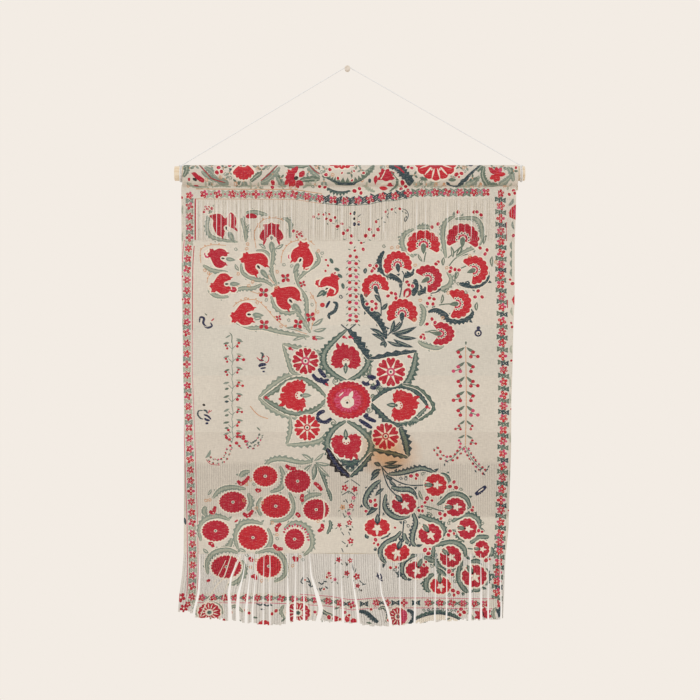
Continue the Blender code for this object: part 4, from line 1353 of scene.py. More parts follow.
def draw_star(art):
    """Eight-pointed star of the middle: leafy frames, four blooms and four petal rosettes."""
    for upper, lower, more in ((6, 7, ()), (15, 16, STAR_FRAMES[17][0][1:])):
        one, other = STAR_FRAMES[upper][0], STAR_FRAMES[lower][0] + more
        art.append(("ground", through(one) + through(other)[::-1]))
    for points, width, fill, rim, side in STAR_FRAMES:
        vine(
            art, points, width * 1.4, "mist" if fill == "sage" and rim == "sage" else fill, rim, side, 0.62,
        )
    star_carnation(art, 346.0, 358.0, 13.4, -88, 0)
    star_carnation(art, 294.6, 395.4, 14.2, 180, 1)
    star_carnation(art, 403.2, 405.8, 14.2, 4, 1)
    star_carnation(art, 346.5, 445.0, 13.6, 86, 0)
    petal_ring(art, 305.5, 361.0, 13.4, 8, "crimson", 10)
    petal_ring(art, 390.8, 371.9, 14.6, 8, "crimson", 0)
    petal_ring(art, 307.2, 427.6, 13.2, 8, "scarlet", 22)
    petal_ring(art, 385.6, 436.2, 13.4, 8, "crimson", 15)
    for x, y in ((305.5, 361.0), (390.8, 371.9)):
        art.oval("rose", x, y, 4.4, count=12)
        art.oval("cream", x, y, 2.4, count=10)
        art.oval("black", x, y, 1.1, count=8)
    art.scallops("cream", 348.6, 400.0, 23.4, 20.2, 30, 0.02)
    art.scallops("crimson", 348.6, 400.0, 22.2, 19.0, 30, 0.06)
    art.scallops("scarlet", 348.6, 400.0, 19.0, 16.0, 26, 0.05)
    art.scallops("crimson", 348.2, 400.4, 16.0, 13.6, 20, 0.08)
    art.scallops("rose", 347.8, 400.2, 13.6, 12.0, 11, 0.1)
    for ray in range(22):
        place = polar(347.8, 400.6, 8.2, ray * 16.4)
        art.leaf("crimson" if ray % 2 else "scarlet", *place, 4.6, 1.0, ray * 16.4)
    art.scallops("cream", 347.4, 402.0, 7.0, 6.2, 7, 0.08)
    art.leaf("cream", 349.4, 399, 9.0, 4.2, -68, blunt=0.8)
    art.leaf("rose", 341, 399, 7.0, 2.2, -50)
    art.leaf("cream", 338.6, 396.6, 7.0, 1.4, -42)
    art.oval("black", 347.2, 402.6, 1.2, count=9)
    art.line("ochre", ((345.0, 400.4), (348.8, 400.0), (350.0, 403.0)), 0.5)
    for points in STAR_NAVY:
        art.ribbon("navy", points, 3.9, 0.5, 1, 0.45)
    art.leaf("crimson", 325, 383, 5.0, 2.2, 40)
    art.oval("cream", 371.0, 382.0, 2.2, 2.0)
    for x, y, r, turn in (
        (336, 381, 3.6, 0), (366, 374, 3.4, 60), (380, 389, 3.4, 120), (333, 423, 3.2, 200),
        (369, 410, 3.0, 300), (323, 404, 2.4, 40), (373, 396, 2.4, 10),
    ):
        curl(art, x, y, r * 1.25, strip_ink(x, "sage", "moss"), turn, 0.9)
        curl(art, x, y, r * 0.6, strip_ink(x, "sage", "moss"), turn + 90, 0.7)
    for x, y in (
        (290, 348.5), (266, 397.6), (409, 356.5), (427, 407), (344, 337), (350, 337), (314, 338.5),
    ):
        art.oval("crimson", x, y, 1.9, 1.6, count=9)
        art.oval("rose", x + 2.4, y + 1.2, 1.1, 0.9, count=8)
    art.line("slate", ((341, 324.5), (346, 328.5), (349, 331)), 1.4)
    art.line("slate", ((356, 324), (351, 328), (348, 331)), 1.4)


# Berry clusters of the two arms above the middle column: place and size, then their small leaves.
ARM_BERRIES = (
    (351, 243, 1.9), (351.6, 236, 2.0), (343.4, 233.4, 2.0), (347.6, 230.4, 1.7), (337.6, 226.4, 2.1),
    (342, 223.8, 1.7), (330.8, 220.4, 1.9), (335, 217.6, 1.6), (326.4, 218.8, 1.5), (324, 214.6, 1.6),
    (329.2, 214.2, 1.3), (313.6, 216.8, 1.6), (318.6, 214.4, 1.2), (354.8, 250.6, 1.6), (361.2, 243, 1.5),
    (363.2, 249.4, 1.9), (365.6, 235.8, 2.2), (373.8, 235.6, 1.8), (369.6, 229.4, 2.1), (378, 229.6, 2.2),
    (376.2, 221.8, 1.7), (385.6, 211.8, 1.4), (392, 209.4, 1.6), (399.8, 208.8, 1.6),
)
ARM_MARKS = (
    (349, 249, 20), (356.6, 246, 120), (347, 240, 200), (358.6, 240, 20), (345.6, 229, 70),
    (340, 228.6, 150), (349.6, 226.6, 30), (333, 223, 20), (337.6, 219.6, 100), (328, 222.6, 60),
    (321.6, 218, 150), (317, 217.6, 20), (325.8, 211.6, 50), (366.6, 242, 160), (369.6, 239.6, 20),
    (373, 230.6, 100), (381.6, 225.6, 130), (384, 221.6, 20), (380.6, 219, 160), (383.6, 216.6, 110),
    (388, 215.6, 60), (390, 212.6, 120), (395.6, 211.6, 40), (397.6, 207, 130), (388.6, 208.6, 80),
    (403, 210, 60), (405.6, 212.6, 20), (407.6, 215.6, 80),
)
# Small five-petalled flowers below the star: place, size and ink.
TAIL_FLOWERS = (
    (344.9, 487.6, 3.4, "crimson"), (354.7, 488.8, 3.2, "crimson"), (353.6, 497.6, 2.2, "rose"),
    (342.6, 507.0, 2.9, "ochre"), (351.2, 505.6, 2.7, "crimson"), (348.8, 513.2, 2.2, "rose"),
    (349.4, 522.4, 2.8, "crimson"), (339.4, 525.0, 2.3, "crimson"), (350.6, 540.6, 3.2, "crimson"),
    (338.8, 559.4, 2.9, "crimson"), (350.4, 560.2, 2.6, "crimson"), (346.8, 573.0, 2.9, "crimson"),
    (356.8, 576.2, 3.4, "crimson"), (357.6, 585.4, 2.4, "crimson"), (329.2, 574.2, 2.6, "crimson"),
    (335.0, 579.2, 2.0, "rose"),
)
TAIL_TWIGS = (
    ((351, 479.4), (356, 482.6), (360, 485.8)), ((344.4, 483), (348.6, 480.4)),
    ((341.8, 495), (346, 492.6), (349, 490.6)), ((349, 491), (353, 493.6), (355, 496)),
    ((345.6, 499), (347.6, 502.6)), ((347, 510), (350.6, 509)), ((345.6, 525), (349, 526.6)),
    ((341.6, 531.6), (344, 535)), ((342, 541), (345.6, 543.6)), ((345.8, 562), (347, 566)),
    ((352.6, 565), (353.4, 570)), ((356, 568), (355, 572)), ((360, 581), (364, 584)),
    ((362, 584.6), (366, 583.6)), ((349.6, 516.6), (351.6, 519.6)), ((343, 513), (345, 517.6)),
    ((348.6, 531.6), (350, 535)), ((341.6, 548), (343.4, 552)),
)


def cluster(art, x, y, size, count, side, ink, twig):
    """Two or three berries on a forked twig."""
    places = ((1.0, -0.9), (0.2, 0.9), (2.9, 0.8))[:count]
    for across, down in places:
        end = (x + side * across * size * 1.3, y + down * size * 1.3)
        art.line(twig, ((x, y), end), 0.9)
        art.oval(ink, *end, size, size * 0.92, count=9)


def spray(art, x, top, levels, pitch, size, inks, reach):
    """Upright spray: a thin stem, slanting leaves and berry clusters left and right of it."""
    leaf_ink, berry_ink, stem_ink = inks
    art.ribbon(
        stem_ink, ((x, top), (x + 0.6, top + levels * pitch * 0.5), (x - 0.3, top + levels * pitch)), 0.8,
        tip=0.8,
    )
    art.leaf(leaf_ink, x + 0.2, top - 1.0, 4.0, 1.8, -88)
    for level in range(levels):
        y = top + pitch * level
        shrink = 1.0 if level < levels - 2 else 0.72
        for side in (-1, 1):
            angle = 90 - side * (66 - 5 * (level % 3)) + (4 if side > 0 else 0)
            art.leaf(
                leaf_ink, x + side * 0.8, y + 1.2, reach * shrink, 3.0 * shrink, angle, bend=0.08 * side,
            )
            count = 3 if (level % 2 == 0) == (side > 0) else 2
            ink = "rose" if (level + side) % 5 == 0 else berry_ink
            cluster(
                art, x + side * reach * 0.46, y + pitch * 0.58, size * shrink, count, side, ink, leaf_ink,
            )


def berry_line(art, points, step, ink="crimson", leaf_ink="moss", size=1.25, sides=(-1, 1), reach=2.2):
    """Berries and small leaves along a path, on one side or both."""
    path = through(points, 4)
    length, due, number = 0.0, 0.0, 0
    for before, after in zip(path, path[1:]):
        gap = math.hypot(after[0] - before[0], after[1] - before[1])
        angle = math.degrees(math.atan2(after[1] - before[1], after[0] - before[0]))
        while due <= length + gap:
            share = (due - length) / gap if gap else 0.0
            x = before[0] + (after[0] - before[0]) * share
            y = before[1] + (after[1] - before[1]) * share
            for side in sides:
                grown = size * (0.8, 1.15, 1.0)[(number + side) % 3]
                bx, by = polar(x, y, reach, angle + 90 * side + 14 * (number % 3 - 1))
                art.oval(ink if number % 4 else "rose", bx, by, grown, grown * 0.9, angle, 8)
                art.leaf(
                    leaf_ink, *polar(x, y, reach * 0.3, angle + 90 * side), 2.8, 1.0, angle + 40 * side,
                )
            due += step
            number += 1
        length += gap


def draw_column(art):
    """Berry column above the star, and its two arms with a curled end."""
    for number, y in enumerate(frange(256.6, 320.6, 6.6)):
        for side in (-1, 1):
            x = 353 + side * (3.1 + 0.4 * math.sin(2.0 * number + side))
            ink = "rose" if (number + side) % 4 == 0 else "crimson"
            art.oval(ink, x, y + 0.5 * side, 1.8 + 0.25 * (number % 2), 1.7, 20 * side, 9)
            art.leaf("moss", x + side * 1.4, y + 3.4, 3.4, 1.1, 90 - side * 50)
            art.leaf("moss", 353.0, y + 3.6, 3.0, 0.9, 90 - side * 62)
    berries(art, ARM_BERRIES)
    for number, (x, y, turn) in enumerate(ARM_MARKS):
        art.leaf("teal" if x > 380 else "moss", x - 1.2, y, 3.2, 1.0, turn)
    art.ribbon(
        "slate",
        ((402, 208.6), (406.4, 210.6), (408.4, 215), (407, 219), (405, 221.6), (404.6, 218.4), (406.6, 216)),
        0.9,
    )


def draw_right_spray(art):
    """Upright spray right of the star, with a forked foot."""
    spray(art, 465.6, 346.0, 7, 14.6, 1.95, ("moss", "crimson", "ochre"), 10.4)
    for points in (
        ((465.4, 446), (459, 451), (452, 458.6), (445, 462)),
        ((465.6, 446), (470, 456), (476, 464), (482, 469)),
    ):
        art.ribbon("moss", points, 0.8, tip=0.6)
    berry_line(
        art, ((462, 448), (456, 456), (449, 459), (442, 457), (436, 449)), 5.0, "crimson", "moss", 1.4,
    )
    berry_line(art, ((467, 450), (472, 459), (479, 467), (484, 471.6)), 4.6, "crimson", "slate", 1.25)
    for x, y, turn in (
        (480, 470, -20), (484, 473, 40), (487, 470.6, -40), (489, 468, -60), (476, 469.6, 60),
        (446, 463, 90), (447, 461, 20),
    ):
        art.leaf("slate", x - 1.4, y, 3.4, 1.4, turn)


def draw_left_spray(art):
    """Upright spray left of the star, with berries round its foot."""
    for row, y in enumerate(frange(340, 430, 13.2)):
        size = (1.5, 1.75, 1.3)[row % 3]
        cluster(art, 237.0, y + 4.6, size, 2 + row % 2, 1, "crimson" if row % 3 else "scarlet", "moss")
        art.leaf("mist" if row % 2 else "sage", 236.0, y + 0.4, 7.4, 2.2, 10 + 6 * (row % 3))
        art.leaf("sage" if row % 2 else "moss", 229.6, y + 2.6, 6.6, 2.3, 168 - 8 * (row % 3))
        if row < 3 or row == 7:
            cluster(art, 227.6, y + 7.0, 1.25, 2, -1, "crimson", "sage")
        else:
            art.leaf("slate" if row == 4 else "moss", 229.0, y + 8.6, 4.4, 2.4, 176 - 12 * (row % 2))
        art.line("sage", ((232.0, y), (232.6 + 0.5 * (row % 2), y + 6.6), (231.8, y + 13.2)), 0.7)
        for side in (-1, 1):
            art.line("sage", ((232.2, y + 9), (232.2 + 3.6 * side, y + 5.4)), 0.7)
    art.ribbon("moss", ((229.6, 332.6), (232.0, 336), (231.6, 343)), 1.0)
    for x, y, turn in ((225.4, 338, -30), (236, 338.6, 16)):
        art.leaf("sage", x, y, 6.4, 1.6, turn)
    for x, y, r in (
        (228.4, 430, 1.5), (226.6, 437.6, 1.7), (229.6, 439.4, 1.5), (237.6, 433.4, 1.6), (240.4, 437, 1.4),
        (243.6, 438.4, 1.9), (245.6, 441.4, 1.7), (236.6, 443, 1.9), (239.4, 446, 1.3), (230.4, 445.6, 1.4),
    ):
        art.oval("crimson", x, y, r, r * 0.9, count=8)
        art.leaf("moss", x + 0.6, y + 0.8, r * 2.0, 1.1, 50)
    berry_line(
        art, ((247, 443), (252, 444.6), (258, 440.6), (262, 433)), 3.6, "slate", "moss", 1.0, (-1, 1), 1.9,
    )
    berry_line(art, ((248, 446), (253, 447), (259, 443)), 5.0, "crimson", "slate", 0.9, (1,), 1.6)
    art.leaf("moss", 256.4, 426.6, 6.0, 1.4, 46)
    berry_line(
        art, ((229, 449), (226.6, 456), (221.6, 461), (214, 461), (207, 457)), 4.4, "crimson", "moss", 0.95,
    )
    art.leaf("sage", 205.4, 458, 10.0, 3.0, -58, bend=0.12)
    art.line("crimson", ((206.4, 459.4), (211, 464), (220, 465)), 0.6)


def draw_tail(art):
    """Column of small flowers and twigs below the star."""
    for number, (x, y, r, ink) in enumerate(TAIL_FLOWERS):
        floret(art, x, y, r, 5, 33 * number, ink, "slate" if number % 2 else "cream")
        art.leaf("moss", x + r * 0.8, y + r, 3.2, 1.1, 60 + 40 * (number % 3))
        art.leaf("moss", x - r * 0.8, y + r * 0.9, 3.0, 1.0, 110 + 30 * (number % 2))
    for points in TAIL_TWIGS:
        art.line("slate", points, 0.9)
    for x, y, r in (
        (350.2, 529.4, 1.3), (347, 546, 0.9), (361.2, 590, 1.1), (346.8, 564, 0.9), (344, 501, 0.8),
    ):
        art.oval("black", x, y, r, count=8)


def draw_small_figures(art):
    """Small animals, birds, vessels and scrolls between the groups."""
    art.ribbon(
        "navy",
        (
            (199.6, 322.4), (200.4, 317.4), (204.2, 318.4), (203.4, 323.4), (207.4, 327.6), (212.0, 326.0),
            (210.6, 322.6),
        ),
        2.4,
    )
    art.line("cream", ((200.8, 321.6), (203.6, 325.6), (207.6, 327.0)), 0.5)
    art.ribbon("crimson", ((211.4, 321.0), (214.4, 318.4)), 1.3)
    art.ribbon("moss", ((204.8, 313.4), (207.2, 315.4)), 1.1)
    for points in (((307, 577), (310, 582), (311, 588)), ((303, 577), (301, 582), (304, 584))):
        art.ribbon("slate", points, 1.2)
    for x, y, turn in (
        (318, 582, 30), (321, 585, -40), (316, 587, 70), (323, 581, 10), (320, 589, -20), (325, 586, 40),
        (303, 578, 80), (308, 584, 40), (311, 587, -30), (306, 581, 20), (319, 587.6, 60), (314, 583, 100),
    ):
        art.leaf("slate", x, y, 4.4, 1.5, turn)
    berries(art, ((329, 573, 1.8), (327, 577, 1.4), (305, 580, 1.0), (331, 578, 1.0), (324, 589, 1.2)))
    art.leaf("black", 202.4, 404.6, 3.4, 2.4, 10)
    art.ribbon(
        "slate", ((203.0, 410.4), (199.0, 410.8), (198.0, 414.4), (200.6, 418.0), (203.4, 419.0)), 1.6, 0.3,
    )
    art.ribbon("slate", ((203.6, 410.0), (206.4, 410.8), (207.6, 413.4)), 1.9)
    art.ribbon("navy", ((204.0, 414.6), (208.0, 416.0), (211.2, 419.4)), 2.0)
    art.ribbon("navy", ((204.6, 418.0), (206.8, 419.8), (210.0, 420.4)), 2.4)
    art.ribbon("navy", ((205.6, 423.4), (208.6, 423.0)), 2.2)
    for points in (((208.4, 413.6), (209.6, 409.8)), ((209.4, 412.0), (212.0, 410.4))):
        art.line("crimson", points, 0.8)
    art.ribbon("slate", ((260.4, 352.6), (263.0, 354.4), (261.6, 360)), 1.9, 0.6)
    art.leaf("slate", 258.6, 360.4, 5.6, 2.2, 0)
    for points in (
        ((256.6, 357.0), (259.0, 359.4), (263, 360.4)), ((265.0, 355.6), (262.4, 357.8)),
        ((266.4, 355.6), (268.8, 358.4), (267.2, 362.4), (264.6, 361.6)),
    ):
        art.ribbon("crimson", points, 1.0)
    art.ribbon("navy", ((258.6, 366.6), (261.4, 364.6), (266.4, 364.4)), 3.2, 0.5)
    art.ribbon("navy", ((260.4, 368.6), (266.0, 367.6)), 1.8)
    art.ribbon("navy", ((262.4, 371.6), (265.0, 371.4)), 1.8)
    for x, y, rx, ry, ink in (
        (354.4, 213.2, 1.3, 2.2, "slate"), (354.2, 218.8, 1.3, 1.4, "black"),
        (354.4, 224.2, 1.7, 2.0, "navy"), (358.8, 223.4, 1.7, 2.2, "crimson"),
        (358.8, 224.6, 1.5, 1.4, "navy"), (350.6, 213.8, 1.0, 1.2, "crimson"),
    ):
        art.oval("cream", x, y, rx + 0.9, ry + 0.9)
        art.oval(ink, x, y, rx, ry, 8)
    art.line("slate", ((358.0, 216.8), (360.6, 214.6)), 0.8)
    art.oval("navy", 478.0, 333.0, 3.8, 3.8)
    art.oval("cream", 478.2, 333.2, 2.0, 2.0)
    art.oval("slate", 478.4, 333.6, 0.9, 1.2, count=8)
    art.oval("navy", 478.4, 328.0, 2.0, 1.9, count=9)
    art.ribbon("navy", ((475.2, 494.4), (480.0, 491.0), (486.0, 486.0)), 4.4, 0.4, 1, 0.5)
    art.ribbon("cream", ((478.0, 492.0), (483.6, 488.0)), 1.2)
    for points in (
        ((377, 572), (379, 578), (383, 581)), ((380, 573), (381.6, 577), (380, 580)),
        ((376, 576), (379.6, 575)),
    ):
        art.ribbon("navy", points, 1.3, 0.5)
    art.line("ochre", ((250, 406), (255, 412), (260, 416), (268, 418.6)), 0.9)


def draw_below_band(art):
    """Cut flowers, leaves and berries between the lowest band and the ends of the fringe."""
    for points in (
        ((197, 602), (195, 609), (199, 616)), ((203, 604), (212, 602.6), (220, 606), (223, 614)),
        ((228, 608), (236, 606), (243, 612)), ((284, 605), (281, 612), (285, 619)),
        ((294, 606), (304, 605), (309, 612)), ((320, 608), (326, 613), (333, 615)),
        ((378, 609), (384, 607), (388, 613), (386, 622)), ((469, 607), (470, 614), (474, 619)),
        ((496, 607), (493, 613), (495, 619)),
    ):
        vine(art, points, 2.8, "mist", strip_ink(points[1][0], "sage", "slate"))
    for x, y, rx, ry in ((209.5, 612, 11.4, 9.8), (298, 613, 12.4, 10.4), (398, 616.5, 9.6, 9.4)):
        art.scallops("cream", x, y, rx + 1.2, ry + 1.2, 13, 0.04)
        art.scallops("crimson", x, y, rx, ry, 13, 0.1)
        for ray in range(13):
            angle = 360.0 * ray / 13 + 14
            art.leaf("cream", *polar(x, y, ry * 0.4, angle), ry * 0.56, 1.0, angle, blunt=0.7)
        art.oval("cream", x, y, rx * 0.36, ry * 0.36)
        art.oval("teal", x, y, rx * 0.2, ry * 0.2, count=9)
    art.scallops("rose", 404, 616, 3.4, 6.6, 6, 0.1)
    for x in (394, 398, 402, 405):
        art.leaf("crimson", x, 610.6, 11.0, 1.1, 90)
    for x, y, rx, ry in ((335.6, 618.4, 3.6, 3.0), (347.2, 618.4, 2.6, 3.6), (353.6, 620.6, 3.2, 2.8)):
        art.scallops("scarlet", x, y, rx, ry, 5, 0.12)
        art.leaf("rose", x - 0.4, y - ry * 0.6, ry * 1.1, 0.8, 88)
    art.scallops("scarlet", 264, 626, 7.0, 6.0, 6, 0.12, 180, 180, 0.0)
    for x, y, turn in (
        (258, 603.6, 20), (261, 606, -30), (265, 604, 30), (268, 606.4, -20), (262, 609, 10),
        (271, 603.4, 40),
    ):
        art.leaf("slate", x - 2, y, 4.6, 1.8, turn)
    art.ribbon("slate", ((359, 611), (366, 612), (373, 618), (378, 622)), 4.0, 1.6, 1, 0.6)
    art.ribbon("slate", ((407, 610), (412, 612), (414, 618), (409, 624)), 3.6, 1.2, 1, 0.6)
    art.ribbon("cream", ((416, 623.4), (425, 618.6), (438, 616.4), (450, 618.4), (459, 623.4)), 7.0)
    art.ribbon(
        "teal", ((414, 619.6), (424, 615), (438, 612.8), (452, 615), (461, 619.6)), 3.4, 1.6, -1, 0.6,
    )
    art.ribbon("slate", ((414, 620.4), (425, 616), (438, 613.8), (451, 616), (461, 620.4)), 1.6, 0.8, -1)
    for number, x in enumerate(frange(424, 456, 4.6)):
        curl(art, x, 609.6 + 0.03 * abs(x - 438), 1.7, "slate" if number % 2 else "moss", 60 * number, 0.8)
    for angle, length in ((-150, 10), (-110, 9), (-80, 9.6), (-40, 10), (0, 9), (170, 9)):
        art.leaf("crimson", 483, 616, length, 4.6, angle)
    art.ribbon("black", ((480, 609), (483, 613), (484, 619)), 1.0)
    art.leaf("slate", 500, 606, 12.0, 4.0, 96)
    art.leaf("slate", 496, 608, 9.0, 3.4, 60)
    berries(
        art,
        (
            (461, 609, 2.2), (464, 612, 2.2), (460, 614.6, 2.0), (458, 611.6, 1.4), (246, 610, 2.0),
            (249, 613, 1.8), (231, 612, 1.8), (272, 614, 1.8), (276, 611, 2.0), (315, 612, 1.8),
            (318, 615, 1.8), (329, 617, 2.4), (345, 612, 1.8), (349, 615, 1.6), (371, 609, 1.6),
            (388, 620, 1.4), (224, 620, 1.8), (340, 619, 1.6),
        ),
    )
    for place in ((181, 597, 5), (184, 608, 4.2), (188, 604, 3.2)):
        floret(art, *place, 5)
    for x, y, turn in (
        (206, 620, -30), (236, 618, 30), (252, 617, 10), (281, 622, -40), (307, 620, 20), (322, 620, 60),
        (334, 609, -20), (366, 622, 10), (424, 622, 30), (445, 620, -20), (467, 620, 20),
    ):
        art.leaf("moss", x, y, 6.0, 2.0, turn)


def draw_pale_threads(art):
    """Single unprinted threads that lie across the printed ones in the fringe."""
    for points, width in (
        (((231.2, 555), (223.9, 577), (217, 585), (207.5, 601), (200.3, 616)), 1.1),
        (((240.7, 556), (231.2, 580), (229.8, 600), (229.4, 618)), 1.3),
        (((226, 560), (219, 574), (213, 584)), 0.7), (((269.6, 556), (270, 571), (268, 582)), 0.9),
        (((236, 562), (233, 572), (226, 588), (222, 604)), 0.8),
    ):
        art.line("cream", points, width)


def draw_cloth():
    """The whole printed design, in painting order, as (ink, outline)."""
    art = Drawing()
    draw_sleeve(art)
    draw_bands(art)
    draw_outer_margin(art)
    draw_column(art)
    draw_right_spray(art)
    draw_left_spray(art)
    draw_tail(art)
    draw_small_figures(art)
    draw_top_left(art)
    draw_top_right(art)
    draw_low_left(art)
    draw_low_right(art)
    draw_star(art)
    draw_below_band(art)
    draw_pale_threads(art)
    return art


# ---------------------------------------------------------------- cutting the drawing into a mesh

INK_NAMES = tuple(INKS)
ART = [(ink, np.array(outline)) for ink, outline in draw_cloth()]


def ground_ink(x, y):
    """Tint of the bare cloth at this place, with painted shade on and under the sleeve and painted highlight
    on the fringe.
    """
    if COOL_TOP <= y < COOL_END:
        return "cool"
    # The fine zone has its own darker tone; the same tone on the sleeve rows down to just below its foot is
    # painted shade of the roll and the fold under the dowel.
    if FINE_TOP <= y < RIB_END or y < SLEEVE_SHADE_END:
        return "fine"
    # The thread tone of the fringe strands is paler and cooler than the ground: painted highlight on the
    # strands and the pale gaps between them.
    return "thread" if y > FRINGE_TOP else "ground"


def grid_dots(x0, x1, y0, y1, step):
    """Evenly spaced points that carry the folds."""
    dots = []
    rows = max(1, round((y1 - y0) / step))
    for row in range(1, rows):
        y = y0 + (y1 - y0) * row / rows
        shift = step * 0.5 if row % 2 else 0.0
        x = x0 + step * 0.5 + shift
        while x < x1 - step * 0.3:
            dots.append((x, y))
            x += step
    return dots


def within(outline, x, y):
    """Which of the places (x, y) lie inside an outline, by its winding round them."""
    ax, ay = outline[:, 0], outline[:, 1]
    bx, by = np.roll(ax, -1), np.roll(ay, -1)
    px, py = x[:, None], y[:, None]
    side = (bx - ax) * (py - ay) - (px - ax) * (by - ay)
    rising = (ay <= py) & (by > py) & (side > 0)
    falling = (ay > py) & (by <= py) & (side < 0)
    return rising.sum(axis=1) != falling.sum(axis=1)


def cut_drawing(outline, lines, dots):
    """Triangles of the drawing inside an outline: (points, [(corners, ink name, x, y)])."""
    outline = np.array(outline)
    x0, y0 = outline.min(axis=0)
    x1, y1 = outline.max(axis=0)
    shapes = [
        (ink, places) for ink, places in ART
        if places[:, 0].max() > x0 and places[:, 0].min() < x1
        and places[:, 1].max() > y0 and places[:, 1].min() < y1
    ]
    points, edges = [], []
    for places, closed in [(outline, True)] + [(p, True) for _, p in shapes] + [(p, False) for p in lines]:
        start = len(points)
        points.extend(Vector(place) for place in places)
        edges += [(start + index, start + index + 1) for index in range(len(places) - 1)]
        if closed:
            edges.append((start + len(places) - 1, start))
    points.extend(Vector(dot) for dot in dots)
    cut = delaunay_2d_cdt(points, edges, [], 0, 1e-5, False)
    made = np.array([tuple(point) for point in cut[0]])
    corners = np.array(cut[2])
    middles = made[corners].mean(axis=1)
    kept = within(outline, middles[:, 0], middles[:, 1])
    corners, middles = corners[kept], middles[kept]
    order = np.argsort(middles[:, 0])
    corners, middles = corners[order], middles[order]
    top = np.full(len(corners), -1)
    for number, (_, places) in enumerate(shapes):
        low_x, low_y = places.min(axis=0)
        high_x, high_y = places.max(axis=0)
        first, last = np.searchsorted(middles[:, 0], (low_x, high_x))
        near = np.arange(first, last)[(middles[first:last, 1] > low_y) & (middles[first:last, 1] < high_y)]
        if len(near):
            top[near[within(places, middles[near, 0], middles[near, 1])]] = number
    names = [shapes[t][0] if t >= 0 else ground_ink(x, y) for t, (x, y) in zip(top, middles)]
    return made, [
        (tuple(c), name, x, y)
        for c, name, (x, y) in zip(corners.tolist(), names, middles.tolist())
    ]


def inked_mesh(name, made, triangles, place, weave):
    """Mesh object of cut triangles; place gives (point, normal) and weave the thread coordinates."""
    used = {}
    points, normals, threads = [], [], []
    for corners, _, _, _ in triangles:
        for corner in corners:
            if corner not in used:
                used[corner] = len(points)
                x, y = made[corner]
                point, normal = place(x, y)
                points.append(point)
                normals.append(normal)
                threads.append(weave(x, y))
    faces = [[used[c] for c in reversed(corners)] for corners, _, _, _ in triangles]
    mesh = bpy.data.meshes.new(name)
    mesh.from_pydata(points, [], faces)
    for ink in INK_NAMES:
        mesh.materials.append(bpy.data.materials[ink_material_name(ink)])
    index_of = {ink: index for index, ink in enumerate(INK_NAMES)}
    mesh.polygons.foreach_set("material_index", [index_of[ink] for _, ink, _, _ in triangles])
    layer = mesh.uv_layers.new(name="threads")
    values = []
    for face in faces:
        for corner in face:
            values.extend(threads[corner])
    layer.data.foreach_set("uv", values)
    mesh.shade_smooth()
    mesh.normals_split_custom_set_from_vertices(normals)
    return link(bpy.data.objects.new(name, mesh))


def link(obj):
    """Adds an object to the scene."""
    bpy.context.scene.collection.objects.link(obj)
    return obj


def face_place(x, y):
    """Printed face of the plain cloth: point and normal."""
    point = cloth_place(x, y, SHEET_HALF)
    inside = cloth_place(x, y, 0.0)
    return point, (point - inside).normalized()


def plain_weave(x, y):
    """Thread coordinates of plain cloth, in metres."""
    return (to_x(x) * MM, -y * UNIT * MM)


# ---------------------------------------------------------------- strands


def slit_edges(z):
    """Left and right edge of every lock of the fringe at this height."""
    key = max(min(z, SLIT_LEVELS[0]), SLIT_LEVELS[-1])
    sides = [interpolate(CLOTH_EDGES, key, 1)]
    for slit in SLITS:
        places = tuple(zip(SLIT_LEVELS, slit[:5]))
        openings = tuple(zip(SLIT_LEVELS, (0.5,) + slit[5:]))
        centre = interpolate(places, key, 1)
        half = interpolate(openings, key, 1) / 2.0
        sides += [centre - half, centre + half]
    sides.append(interpolate(CLOTH_EDGES, key, 2))
    return list(zip(sides[0::2], sides[1::2]))


STRAND_COUNTS = [max(1, round((b - a) / STRAND_PITCH)) for a, b in slit_edges(FRINGE_ROOT)]


def fringe_sides(y, share):
    """Left and right side of every strand of the fringe at this row of the drawing."""
    sides = []
    for (left, right), count in zip(slit_edges(to_z(y)), STRAND_COUNTS):
        pitch = (right - left) / count
        gap = pitch * (1.0 - share)
        for strand in range(count):
            start = left + pitch * strand + gap / 2.0
            sides.append((to_drawing_x(start), to_drawing_x(start + pitch - gap)))
    return sides


# Openings between the bare warp cords of the upper band: place and width at the middle, in
# drawing units. Cords up to SLIT_PUSH away are pushed aside.
WARP_SLITS = (
    (196.2, 0.6), (200.2, 0.6), (204.6, 0.4), (208.6, 0.5), (212.6, 0.4), (217.2, 0.7), (221.4, 0.5),
    (226.6, 0.8), (229.7, 0.7), (234.4, 0.5), (238.5, 0.6), (243.4, 0.4), (249.0, 0.5), (258.5, 0.4),
    (264.0, 0.5), (268.2, 0.6), (271.8, 0.6), (276.6, 0.4), (284.0, 0.5), (291.6, 0.4), (312.5, 0.4),
    (325.0, 0.6), (333.4, 0.4), (341.0, 0.5), (352.0, 0.4), (371.0, 0.5), (384.6, 0.4), (401.0, 0.4),
    (417.2, 0.6), (426.0, 0.4), (447.0, 0.5), (458.6, 0.4), (471.0, 0.5), (484.6, 0.4),
)
SLIT_PUSH = 4.5
WARP_CORDS = 152


def warp_sides(y, share):
    """Left and right side of every bare warp cord at this row of the drawing."""
    left, right = side_edges(y)
    pitch = (right - left) / WARP_CORDS
    along = (y - OPEN_WARP_TOP) / (OPEN_WARP_END - OPEN_WARP_TOP)
    bulge = math.sin(math.pi * min(max(along, 0.0), 1.0)) ** 0.5
    pushes = [(x, width * bulge) for x, width in WARP_SLITS]
    sides = []
    for cord in range(WARP_CORDS):
        start = left + pitch * (cord + (1.0 - share) / 2.0)
        end = start + pitch * share
        middle = (start + end) / 2.0
        for x, width in pushes:
            reach = abs(middle - x)
            if reach < SLIT_PUSH:
                push = width * 0.5 * (1.0 - reach / SLIT_PUSH) * (1 if middle > x else -1)
                start, end = start + push, end + push
        sides.append((start, end))
    return sides


